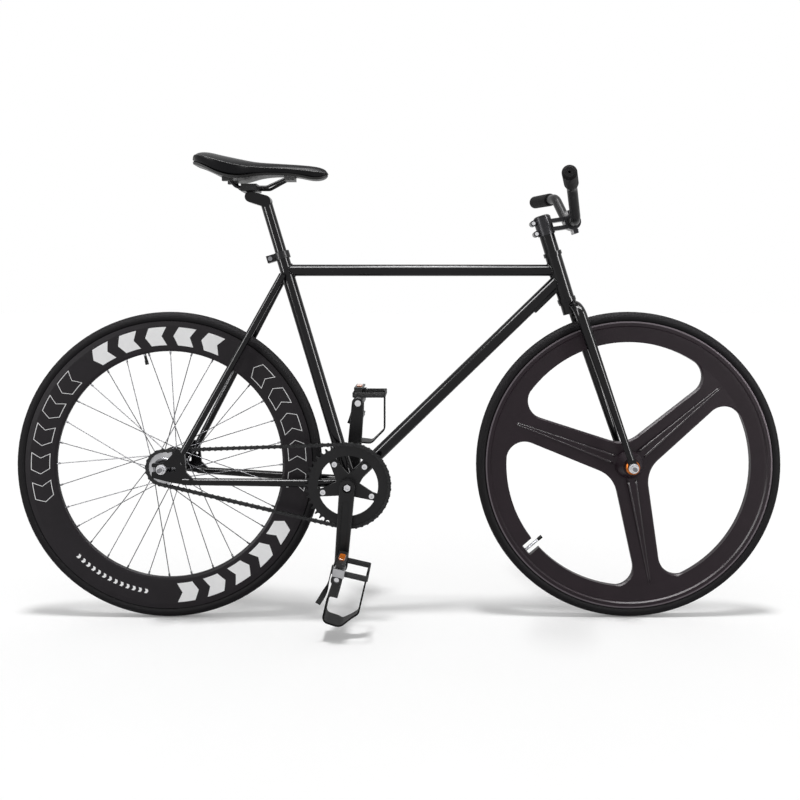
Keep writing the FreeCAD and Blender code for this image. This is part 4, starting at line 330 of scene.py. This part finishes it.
def rear_rim():
    """Satin black deep rim with plain chevrons: two white groups, two outlines and a row of ticks."""
    middle = 281 * MM
    point_slope = 0.55
    surface = Surface("deep_rim", specular_ior_level=0.13)
    radius, angle = surface.around(REAR_AXLE)
    off_middle = surface.math("ABSOLUTE", surface.math("SUBTRACT", radius, middle))

    def chevrons(centre, count, pitch, wide, tall, line=None):
        """An odd count of white arrows along an arc; `line` leaves only an outline of that width."""
        turn = surface.math("WRAP", surface.math("SUBTRACT", angle, centre), 180.0, -180.0)
        slant = surface.math("MULTIPLY", off_middle, point_slope)
        run = surface.math("MULTIPLY_ADD", turn, math.radians(middle), slant)
        cell = surface.math("ABSOLUTE", surface.math("WRAP", run, pitch / 2, -pitch / 2))
        here = surface.math("LESS_THAN", surface.math("ABSOLUTE", run), count * pitch / 2)

        def arrow(inset):
            return surface.math("MULTIPLY", surface.math("LESS_THAN", cell, wide / 2 - inset),
                                surface.math("LESS_THAN", off_middle, tall / 2 - inset))

        shape = arrow(0.0)
        if line:
            shape = surface.math("SUBTRACT", shape, arrow(line))
        return surface.math("MULTIPLY", shape, here)

    arrows = {"count": 5, "pitch": 62 * MM, "wide": 36 * MM, "tall": 40 * MM}
    outlines = {**arrows, "line": 1.3 * MM}
    ticks = {"count": 13, "pitch": 14 * MM, "wide": 6 * MM, "tall": 9 * MM}
    print_mask = chevrons(97, **arrows)
    for degrees, kind in ((-55, arrows), (168, outlines), (20, outlines), (-117, ticks)):
        print_mask = surface.math("MAXIMUM", print_mask, chevrons(degrees, **kind))
    black = surface.mixed(surface.noise(scale=24), (0.008, 0.0062, 0.0080), (0.015, 0.0120, 0.0152))
    white = surface.mixed(surface.noise(scale=90), (0.92, 0.92, 0.93), (0.97, 0.97, 0.97))
    surface.color(surface.mixed(print_mask, black, white))
    surface.roughness(surface.spread(surface.noise(scale=240), low=0.30, high=0.44))
    surface.bump(surface.noise(scale=1500), distance=0.06 * MM)
    return surface


def tube_and_valve(node, centre, black_end):
    """Black rubber inside the tyre; the valve that shows is a threaded steel stem with a black end."""
    black = (0.008, 0.008, 0.008)
    steel = (0.17, 0.17, 0.18)
    thread_pitch = 0.8 * MM
    stem_root = RIM_OUTSIDE - 6 * MM
    surface = Surface(node + "_and_valve", specular_ior_level=0.1)
    radius, _ = surface.around(centre)
    tip = min(math.hypot(v.co.x - centre.x, v.co.z - centre.z) for v in NODES[node].data.vertices)
    metal = surface.between(radius, tip + black_end, stem_root)
    thread = surface.waves(radius, thread_pitch)
    surface.color(surface.mixed(metal, black, steel))
    surface.metallic(metal)
    surface.roughness(surface.spread(surface.noise(scale=300), low=0.22, high=0.36))
    surface.bump(surface.math("MULTIPLY", thread, metal), distance=0.2 * MM, strength=0.6)
    return surface


def dress(surface, *names):
    """Give CAD nodes, by name, one surface."""
    for name in names:
        slots = NODES[name].data.materials
        slots.clear()
        slots.append(surface.material)


PAINT = frame_paint()
ALLOY = satin_alloy()
STEEL = plated_steel("bright_steel", dark=(0.46, 0.46, 0.48), light=(0.66, 0.66, 0.67))
DULL_STEEL = plated_steel("dull_steel", dark=(0.10, 0.10, 0.11), light=(0.24, 0.24, 0.25))
COG_STEEL = plated_steel("cog_steel", dark=(0.24, 0.24, 0.25), light=(0.46, 0.46, 0.47))
PLASTIC = moulded_plastic("black_plastic", dark=(0.006, 0.006, 0.006), light=(0.013, 0.0125, 0.013),
                          shine=0.25)
CLIP_PLASTIC = moulded_plastic("clip_plastic", dark=(0.003, 0.003, 0.003), light=(0.006, 0.0055, 0.006),
                               shine=0.06)
WEBBING = webbing()
AMBER = amber_lens()
dress(PAINT, "head_tube", "top_tube", "down_tube", "seat_tube", "bottom_bracket_shell", "chain_stays",
      "seat_stays", "rear_dropouts", "fork_blades", "fork_steerer", "headset_cups", "headset_spacers",
      "seatpost", "saddle_rails")
dress(ALLOY, "seat_clamp", "bottom_bracket_cups", "saddle_clamp", "handlebar", "right_crank",
      "left_crank", "chainring", "rear_hub")
dress(gray_alloy(), "stem_body", "stem_faceplate")
dress(STEEL, "stem_bolts", "chainring_bolts", "crank_bolts", "rear_axle_nuts", "front_axle_nuts",
      "pedal_spindles")
dress(COG_STEEL, "rear_cog", "right_pedal_strap_buckle", "left_pedal_strap_buckle")
dress(DULL_STEEL, "seat_clamp_bolt", "saddle_clamp_bolt", "rear_axle", "front_axle", "cog_lockring",
      "headset_bearings", "front_hub_bearings", "rear_hub_bearings", "bottom_bracket_spindle")
dress(chain_steel(), "chain")
dress(spoke_steel(), "rear_spokes")
dress(casting("cast_wheel", coat=0.15), "front_wheel_casting")
dress(rear_rim(), "rear_rim")
dress(tyre_rubber("front_tyre_rubber", FRONT_AXLE), "front_tyre")
dress(tyre_rubber("rear_tyre_rubber", REAR_AXLE), "rear_tyre")
dress(tube_and_valve("front_inner_tube", FRONT_AXLE, black_end=12 * MM), "front_inner_tube")
dress(tube_and_valve("rear_inner_tube", REAR_AXLE, black_end=20 * MM), "rear_inner_tube")
dress(grip_rubber(), "grips")
dress(orange_alloy(), "front_axle_end_caps")
dress(PLASTIC, "saddle_shell", "right_pedal_body", "left_pedal_body")
dress(CLIP_PLASTIC, "right_pedal_toe_clip", "left_pedal_toe_clip")


# Helpers for the pieces made here
def turns(count):
    """Angles that share a full circle evenly."""
    return [2 * math.pi * k / count for k in range(count)]


def eased_shares(count):
    """Shares from 0 to 1 that lie closer together at both ends."""
    return [0.5 - 0.5 * math.cos(math.pi * k / count) for k in range(count + 1)]


def boxy(value, power):
    """A sine or cosine pushed outward, which makes a circle's outline boxy."""
    return math.copysign(abs(value) ** power, value)


def along_line(ends, share):
    """The value at a share of the way between two ends."""
    return ends[0] + (ends[1] - ends[0]) * share


def added(name, data):
    """A new object of the scene."""
    item = bpy.data.objects.new(name, data)
    bpy.context.scene.collection.objects.link(item)
    return item


def add_skin(mesh, rows, closed):
    """A skin over rows of points, each row a ring; `closed` joins the last row to the first."""
    rings = [[mesh.verts.new(point) for point in row] for row in rows]
    pairs = list(zip(rings, rings[1:]))
    if closed:
        pairs.append((rings[-1], rings[0]))
    for first, second in pairs:
        count = len(first)
        for i in range(count):
            j = (i + 1) % count
            mesh.faces.new((first[i], first[j], second[j], second[i]))
    if not closed:
        mesh.faces.new(rings[0])
        mesh.faces.new(rings[-1])


def mesh_piece(name, skins, surface, body, closed=True):
    """One object of one or more skins that rides on a body."""
    mesh = bmesh.new()
    for rows in skins:
        add_skin(mesh, rows, closed)
    bmesh.ops.recalc_face_normals(mesh, faces=mesh.faces)
    data = bpy.data.meshes.new(name)
    mesh.to_mesh(data)
    mesh.free()
    data.polygons.foreach_set("use_smooth", [True] * len(data.polygons))
    item = added(name, data)
    data.materials.append(surface.material)
    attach(item, body)
    return item


def smooth_between(values, spot):
    """A smooth curve through (place, value...) rows, read at one place."""
    last = len(values) - 2
    index = max(i for i in range(last + 1) if values[i][0] <= spot or i == 0)
    before, start, end, after = (values[min(max(index + k, 0), last + 1)] for k in (-1, 0, 1, 2))
    wide = end[0] - start[0]
    share = (spot - start[0]) / wide
    from_start = 2 * share ** 3 - 3 * share ** 2 + 1
    from_slope_in = share ** 3 - 2 * share ** 2 + share
    from_slope_out = share ** 3 - share ** 2
    result = []
    for k in range(1, len(start)):
        slope_in = (end[k] - before[k]) / (end[0] - before[0]) * wide
        slope_out = (after[k] - start[k]) / (after[0] - start[0]) * wide
        result.append(from_start * start[k] + from_slope_in * slope_in
                      + (1 - from_start) * end[k] + from_slope_out * slope_out)
    return result


# Saddle, in millimetres from its clamp's drum
SADDLE_LENGTH = 290
SADDLE_WIDTH = 146
SADDLE_BEHIND = 122
SADDLE_SKIN = 5
SADDLE_SWELL = 0.8
SADDLE_ROWS = 56
CROWN_STEPS = 14
CROWN_POWER = 2.4
SHELL_SHARE = 0.86
UNDERSIDE_SHARE = 0.9
UNDERSIDE_STEPS = 6
# How far down the skirt a point lies, and how far in it is tucked
SKIRT_SHARES = ((0.35, 0.3), (0.75, 0.75), (0.95, 1.0))
# Share of the length, share of the width, then the heights of the top, the edge and the underside
SADDLE_STATIONS = (
    (0.00, 0.30, 84, 79, 70), (0.035, 0.68, 95, 84, 66), (0.11, 0.92, 97, 80, 57),
    (0.22, 1.0, 90, 70, 42), (0.34, 0.88, 83, 62, 36), (0.46, 0.60, 77, 60, 42),
    (0.63, 0.35, 74, 60, 46), (0.80, 0.29, 71, 57, 42), (0.92, 0.25, 67, 53, 37),
    (0.98, 0.18, 61, 52, 41), (1.00, 0.08, 54, 51, 46),
)
CLOTH_FRAMES = 20
CLOTH_PRESSURE = 20.0
PIPING_STEPS = 60
PIPING_POINTS = 8
PIPING_RADIUS = 1.1 * MM


def saddle_section(share):
    """One ring of the cover: the crown, a rounded edge, the skirt and the tucked underside."""
    wide, top, edge, under = smooth_between(SADDLE_STATIONS, share)
    half = wide * SADDLE_WIDTH / 2
    ahead = share * SADDLE_LENGTH - SADDLE_BEHIND
    ring = []
    for k in range(CROWN_STEPS + 1):
        across = math.cos(math.pi * k / CROWN_STEPS)
        rise = (1 - abs(across) ** CROWN_POWER) * (top - edge - SADDLE_SWELL)
        ring.append((across * half, edge + rise))
    low = under + SADDLE_SKIN
    skirt = [(half * (1 - (1 - SHELL_SHARE) * share_in), edge + (low - edge) * share_down)
             for share_down, share_in in SKIRT_SHARES]
    ring += [(-across, up) for across, up in skirt]
    ring += [(half * SHELL_SHARE * UNDERSIDE_SHARE * (2 * k / UNDERSIDE_STEPS - 1), low)
             for k in range(1, UNDERSIDE_STEPS)]
    ring += reversed(skirt)
    return [DRUM + Vector((ahead, across, up)) * MM for across, up in ring]


def swell(item, held, most):
    """Blow a piece up as cloth, held where it is sewn; no point moves farther than `most`."""
    sewn = item.vertex_groups.new(name="sewn")
    sewn.add(held, 1.0, "REPLACE")
    cloth = item.modifiers.new("cloth", "CLOTH")
    cloth.settings.vertex_group_mass = sewn.name
    cloth.settings.use_pressure = True
    cloth.settings.uniform_pressure_force = CLOTH_PRESSURE
    cloth.settings.effector_weights.gravity = 0
    cloth.point_cache.frame_end = CLOTH_FRAMES
    scene = bpy.context.scene
    for number in range(1, CLOTH_FRAMES + 1):
        scene.frame_set(number)
    blown = item.evaluated_get(bpy.context.evaluated_depsgraph_get()).data
    moves = [after.co - before.co for before, after in zip(item.data.vertices, blown.vertices)]
    item.modifiers.remove(cloth)
    item.vertex_groups.remove(sewn)
    scene.frame_set(1)
    longest = max(move.length for move in moves)
    for vertex, move in zip(item.data.vertices, moves):
        vertex.co += move * min(1.0, most / longest)


def saddle():
    """A cover swollen by a cloth simulation between its sewn edges, in place of the plain pad."""
    rows = [saddle_section(share) for share in eased_shares(SADDLE_ROWS)]
    cover = mesh_piece("saddle_cover", [rows], saddle_vinyl(), "saddle", closed=False)
    around = len(rows[0])
    crown = {row * around + k for row in range(1, SADDLE_ROWS) for k in range(1, CROWN_STEPS)}
    sewn = [k for k in range(len(cover.data.vertices)) if k not in crown]
    swell(cover, sewn, SADDLE_SWELL * MM)
    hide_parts("saddle_pad")
    smooth = cover.modifiers.new("smooth", "SUBSURF")
    smooth.levels = 1
    smooth.render_levels = 1


def saddle_piping():
    """A thin sewn bead all round the cover, where its crown turns down into the skirt."""
    shares = eased_shares(PIPING_STEPS)
    line = []
    for way, order in ((1, shares), (-1, shares[::-1])):
        for share in order:
            wide, _, edge, _ = smooth_between(SADDLE_STATIONS, share)
            ahead = share * SADDLE_LENGTH - SADDLE_BEHIND
            line.append(DRUM + Vector((ahead, way * wide * SADDLE_WIDTH / 2, edge)) * MM)
    rows = []
    for before, point, after in zip(line[-1:] + line, line, line[1:] + line[:1]):
        outward = (after - before).cross(UPWARD).normalized()
        rows.append([point + (outward * math.cos(turn) + UPWARD * math.sin(turn)) * PIPING_RADIUS
                     for turn in turns(PIPING_POINTS)])
    mesh_piece("saddle_piping", [rows], PLASTIC, "saddle")


saddle()
saddle_piping()


# Each pedal: its body, its place, its front's turn down from forward in degrees, and its outer side
PEDALS = (("right_pedal", RIGHT_PEDAL, 103, 1), ("left_pedal", LEFT_PEDAL, 90, -1))
PEDAL_WIDTH = 88

# Toe straps, in millimetres in a pedal's own frame: X to its front, Y to its top, Z to the bike's right
STRAP_WIDE = 12
STRAP_THICK = 2
STRAP_BACK = 17
STRAP_HIGH = 59.75
STRAP_LOW = -11.8
STRAP_HALF = 44.3
STRAP_BEND = 1.5 * STRAP_THICK
STRAP_POINTS = 16
STRAP_EDGE_POWER = 0.35
STRAP_FACE_POWER = 0.7
CORNER_STEPS = 6
STRAP_TAIL = 76
TAIL_LENGTH = STRAP_TAIL + STRAP_WIDE / 2
TAIL_OUT = PEDAL_WIDTH / 3
TAIL_STEPS = 24
TAIL_LEVEL_SHARE = 0.3
TWIST_START = 0.35
TWIST_SHARE = 0.45
TWIST_DEGREES = 75


def pedal_frame(base, degrees):
    """The pedal's own frame, turned so that its front points this far below forward."""
    turn = math.radians(degrees)
    front = Vector((math.cos(turn), 0, -math.sin(turn)))
    right = -LEFTWARD
    top = right.cross(front)
    return Matrix.Translation(base) @ Matrix((front, top, right)).transposed().to_4x4()


def strap_section(point, outward, wide_way):
    """A flat rounded band's outline at one point of its middle line."""
    ring = []
    for turn in turns(STRAP_POINTS):
        across = boxy(math.cos(turn), STRAP_EDGE_POWER) * STRAP_WIDE / 2
        up = boxy(math.sin(turn), STRAP_FACE_POWER) * STRAP_THICK / 2
        ring.append(point + wide_way * across + outward * up)
    return ring


def strap_band():
    """The closed loop round the pedal and over the toe clip."""
    corners = ((STRAP_HALF, STRAP_HIGH), (-STRAP_HALF, STRAP_HIGH),
               (-STRAP_HALF, STRAP_LOW), (STRAP_HALF, STRAP_LOW))
    to_front = Vector((1, 0, 0))
    rows = []
    for quarter, (across, up) in enumerate(corners):
        centre = Vector((-STRAP_BACK, up - math.copysign(STRAP_THICK, up),
                         across - math.copysign(STRAP_THICK, across)))
        for k in range(CORNER_STEPS + 1):
            turn = math.radians(90 * (quarter + k / CORNER_STEPS))
            outward = Vector((0, math.sin(turn), math.cos(turn)))
            rows.append(strap_section(centre + outward * STRAP_BEND, outward, to_front))
    return rows


def strap_tail(outer):
    """The loose end: it droops, and twists so that its flat side hangs to the outside."""
    droop = STRAP_WIDE / (1 - TAIL_LEVEL_SHARE) ** 2
    across = Vector((0, 0, 1))
    rows = []
    for k in range(TAIL_STEPS + 1):
        share = k / TAIL_STEPS
        past_level = max(0.0, share - TAIL_LEVEL_SHARE)
        point = Vector((-STRAP_BACK - STRAP_WIDE / 2 + TAIL_LENGTH * share,
                        STRAP_LOW - STRAP_BEND - droop * past_level ** 2, outer * TAIL_OUT))
        lean = math.atan2(2 * droop * past_level, TAIL_LENGTH)
        flat = Vector((math.sin(lean), math.cos(lean), 0))
        eased = min(max((share - TWIST_START) / TWIST_SHARE, 0.0), 1.0)
        twist = math.radians(TWIST_DEGREES) * eased * eased * (3 - 2 * eased)
        rows.append(strap_section(point, flat * math.cos(twist) + across * math.sin(twist),
                                  across * math.cos(twist) - flat * math.sin(twist)))
    return rows


def toe_strap(pedal, base, degrees, outer):
    place = pedal_frame(base, degrees)
    for part, rows, closed in (("band", strap_band(), True), ("tail", strap_tail(outer), False)):
        placed = [[place @ (point * MM) for point in row] for row in rows]
        piece = mesh_piece(f"{pedal}_strap_{part}", [placed], WEBBING, pedal, closed)
        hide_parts(pedal + "_toe_strap")


for pedal, base, degrees, outer in PEDALS:
    toe_strap(pedal, base, degrees, outer)


# Weld beads where the frame's tubes meet
TOP_TUBE_HEIGHT = 0.7591
DOWN_TUBE_UP_STEERER = 433.5 * MM
SEAT_WELD_ABOVE = 0.2
TOP_RADIUS = 12.7 * MM
DOWN_RADIUS = 14.3 * MM
SEAT_RADIUS = 14.3 * MM
HEAD_RADIUS = 18 * MM
SHELL_RADIUS = 20 * MM
BEAD_RADIUS = 2.2 * MM
BEAD_STEPS = 96
BEAD_POINTS = 10
RIPPLE_COUNT = 24
RIPPLE_SHARE = 0.12


def weld(name, start, way, radius, other_base, other_way, other_radius):
    """A rippled bead along the line where one round tube meets another's outside."""
    way = way.normalized()
    other_way = other_way.normalized()
    upright = LEFTWARD.cross(way)
    flat_way = way - other_way * way.dot(other_way)
    rows = []
    for turn in turns(BEAD_STEPS):
        outward = LEFTWARD * math.cos(turn) + upright * math.sin(turn)
        origin = start + outward * radius
        offset = origin - other_base
        flat_offset = offset - other_way * offset.dot(other_way)
        # Where this line along the first tube enters the other tube's cylinder
        a = flat_way.length_squared
        b = 2 * flat_way.dot(flat_offset)
        c = flat_offset.length_squared - other_radius ** 2
        root = math.sqrt(max(b * b - 4 * a * c, 0.0))
        meet = origin + way * ((-b - root) / (2 * a))
        away = meet - other_base
        away = (away - other_way * away.dot(other_way)).normalized()
        thick = BEAD_RADIUS * (1 + RIPPLE_SHARE * math.cos(RIPPLE_COUNT * turn))
        rows.append([meet + (outward * math.cos(spin) + away * math.sin(spin)) * thick
                     for spin in turns(BEAD_POINTS)])
    mesh_piece(name, [rows], PAINT, "frame")


def frame_welds():
    top_back = BRACKET + SEAT_UP * ((TOP_TUBE_HEIGHT - BRACKET.z) / SEAT_UP.z)
    top_front = STEER_FOOT + STEER_UP * ((TOP_TUBE_HEIGHT - STEER_FOOT.z) / STEER_UP.z)
    middle = (top_back + top_front) / 2
    head = (STEER_FOOT, STEER_UP, HEAD_RADIUS)
    seat = (BRACKET, SEAT_UP, SEAT_RADIUS)
    shell = (BRACKET, LEFTWARD, SHELL_RADIUS)
    weld("weld_top_to_head", middle, FORWARD, TOP_RADIUS, *head)
    weld("weld_top_to_seat", middle, -FORWARD, TOP_RADIUS, *seat)
    down_front = STEER_FOOT + STEER_UP * DOWN_TUBE_UP_STEERER
    middle = (BRACKET + down_front) / 2
    down = down_front - BRACKET
    weld("weld_down_to_head", middle, down, DOWN_RADIUS, *head)
    weld("weld_down_to_shell", middle, -down, DOWN_RADIUS, *shell)
    weld("weld_seat_to_shell", BRACKET + SEAT_UP * SEAT_WELD_ABOVE, -SEAT_UP, SEAT_RADIUS, *shell)


frame_welds()


# Ridges along the ribs of the cast wheel: millimetres at a rib's foot and at its tip
RIB_ANGLES = (40, 160, 280)
RIB_REACH = (15, 267.5)
RIB_HALF_WIDTH = (10, 2)
RIB_HALF_HEIGHT = (13, 7.5)
RIDGE_RADIUS = (3.0, 1.2)
RIDGE_SHARES = (0.08, 0.97)
RIDGE_STEPS = 24
RIDGE_POINTS = 12


def ridge(outward, across, up):
    """The rings of one ridge, half sunk into one long edge of a rib."""
    rows = []
    for k in range(RIDGE_STEPS + 1):
        share = along_line(RIDGE_SHARES, k / RIDGE_STEPS)
        radius = along_line(RIDGE_RADIUS, share)
        inset = radius / 2
        centre = (outward * along_line(RIB_REACH, share)
                  + across * (along_line(RIB_HALF_WIDTH, share) - inset)
                  + up * (along_line(RIB_HALF_HEIGHT, share) - inset))
        ring = [centre + (across * math.cos(turn) + up * math.sin(turn)) * radius
                for turn in turns(RIDGE_POINTS)]
        rows.append([FRONT_AXLE + point * MM for point in ring])
    return rows


def casting_ridges():
    """A rounded ridge on both edges of each rib, on both sides of the wheel."""
    skins = []
    for degrees in RIB_ANGLES:
        turn = math.radians(degrees)
        outward = Vector((math.cos(turn), 0, math.sin(turn)))
        across = Vector((-outward.z, 0, outward.x))
        skins += [ridge(outward, across * edge, LEFTWARD * face) for edge in (-1, 1) for face in (-1, 1)]
    mesh_piece("casting_ridges", skins, casting("cast_ridges", coat=0.6), "front_wheel",
               closed=False)


casting_ridges()


# Pedal reflectors, in millimetres in a pedal's own frame
REFLECTOR_BACK = 34
REFLECTOR_HALF_WIDTH = 19
REFLECTOR_HALF_HEIGHT = 6.5
REFLECTOR_POINTS = 32
REFLECTOR_POWER = 0.3
# Depth from the pedal's rear bar, and share of the full outline
REFLECTOR_PROFILE = ((0.0, 1.0), (1.6, 1.0), (2.4, 0.94), (2.0, 0.86), (1.8, 0.4))


def reflector(pedal, base, degrees):
    """An amber lens on the pedal's rear bar, with a raised rim."""
    place = pedal_frame(base, degrees)
    rows = []
    for depth, size in REFLECTOR_PROFILE:
        ring = []
        for turn in turns(REFLECTOR_POINTS):
            across = boxy(math.cos(turn), REFLECTOR_POWER) * REFLECTOR_HALF_WIDTH * size
            up = boxy(math.sin(turn), REFLECTOR_POWER) * REFLECTOR_HALF_HEIGHT * size
            ring.append(place @ (Vector((-REFLECTOR_BACK - depth, up, across)) * MM))
        rows.append(ring)
    mesh_piece(pedal + "_reflector", [rows], AMBER, pedal, closed=False)


for pedal, base, degrees, _ in PEDALS:
    reflector(pedal, base, degrees)


# Stage, light and camera
FLOOR_REACH = 40
FLOOR_GLOW = 0.12
AMBIENT = 0.5
SUN_STRENGTH = 1.6
SUN_WIDTH_DEGREES = 9
SUN_TILT_DEGREES = 6
# Name, place, target, size and power of each panel
SOFTBOXES = (
    ("overhead", (0, -0.9, 2.6), (0, 0, 0.5), (3.0, 0.7), 230),
    ("front_left", (-2.2, -1.7, 1.3), (-0.1, 0, 0.5), (0.5, 2.2), 120),
    ("front_right", (2.3, -1.5, 1.1), (0.2, 0, 0.5), (0.5, 2.2), 120),
)
# The photo's frame in pixels, its scale at the bike's middle plane, and the pixel straight ahead
PHOTO_WIDTH = 800
METRES_PER_PIXEL = 2.197 * MM
STRAIGHT_AHEAD = (425, 299)
CAMERA_DISTANCE = 1.9
CAMERA_AHEAD = 0.057
CAMERA_HEIGHT = 0.696
SENSOR_WIDTH = 36


def light_path_white(tree, shaded, strength):
    """Camera, glossy and transmission rays see plain white of this strength on top of what is shaded."""
    path = tree.nodes.new("ShaderNodeLightPath")
    seen = path.outputs["Is Camera Ray"]
    for ray in ("Is Glossy Ray", "Is Transmission Ray"):
        larger = tree.nodes.new("ShaderNodeMath")
        larger.operation = "MAXIMUM"
        tree.links.new(seen, larger.inputs[0])
        tree.links.new(path.outputs[ray], larger.inputs[1])
        seen = larger.outputs[0]
    scaled = tree.nodes.new("ShaderNodeMath")
    scaled.operation = "MULTIPLY_ADD"
    scaled.inputs[1].default_value = strength
    scaled.inputs[2].default_value = shaded
    tree.links.new(seen, scaled.inputs[0])
    return scaled.outputs[0]


def floor():
    mesh = bpy.data.meshes.new("floor")
    corners = [(x * FLOOR_REACH, y * FLOOR_REACH, 0) for x, y in ((-1, -1), (1, -1), (1, 1), (-1, 1))]
    mesh.from_pydata(corners, [], [(0, 1, 2, 3)])
    surface = Surface("pale_floor", roughness=0.9, specular_ior_level=0.0, emission_color=(1, 1, 1, 1))
    glow = light_path_white(surface.tree, 0.0, FLOOR_GLOW)
    surface.join(glow, surface.shader.inputs["Emission Strength"])
    surface.color(surface.mixed(surface.noise(scale=3), (0.89, 0.89, 0.89), (0.91, 0.91, 0.91)))
    mesh.materials.append(surface.material)
    item = added("floor", mesh)


def world():
    item = bpy.data.worlds.new("studio")
    bpy.context.scene.world = item
    item.use_nodes = True
    tree = item.node_tree
    background = tree.nodes["Background"]
    background.inputs["Color"].default_value = (1, 1, 1, 1)
    tree.links.new(light_path_white(tree, AMBIENT, 1 - AMBIENT), background.inputs["Strength"])


def sun():
    """An even key light from overhead, a little to the camera's side; it leaves the soft shadow."""
    data = bpy.data.lights.new("sun", "SUN")
    data.energy = SUN_STRENGTH
    data.angle = math.radians(SUN_WIDTH_DEGREES)
    added("sun", data).rotation_euler = (math.radians(SUN_TILT_DEGREES), 0, 0)


def softbox(name, place, target, size, power):
    """A panel that shows only as a streak in glossy surfaces and leaves the plain light level."""
    data = bpy.data.lights.new(name, "AREA")
    data.shape = "RECTANGLE"
    data.size, data.size_y = size
    data.energy = power
    item = added(name, data)
    item.location = place
    item.rotation_euler = (Vector(target) - Vector(place)).to_track_quat("-Z", "Y").to_euler()
    item.visible_diffuse = False


def camera():
    """Square on to the bike's right side, as in the photo; the frame is shifted, not turned."""
    data = bpy.data.cameras.new("camera")
    data.sensor_width = SENSOR_WIDTH
    data.lens = SENSOR_WIDTH * CAMERA_DISTANCE / (PHOTO_WIDTH * METRES_PER_PIXEL)
    data.shift_x = (PHOTO_WIDTH / 2 - STRAIGHT_AHEAD[0]) / PHOTO_WIDTH
    data.shift_y = (STRAIGHT_AHEAD[1] - PHOTO_WIDTH / 2) / PHOTO_WIDTH
    item = added("camera", data)
    item.location = (CAMERA_AHEAD, -CAMERA_DISTANCE, CAMERA_HEIGHT)
    item.rotation_euler = (math.pi / 2, 0, 0)
    bpy.context.scene.camera = item


floor()
world()
sun()
for panel in SOFTBOXES:
    softbox(*panel)
camera()
bpy.context.scene.view_settings.view_transform = "Standard"
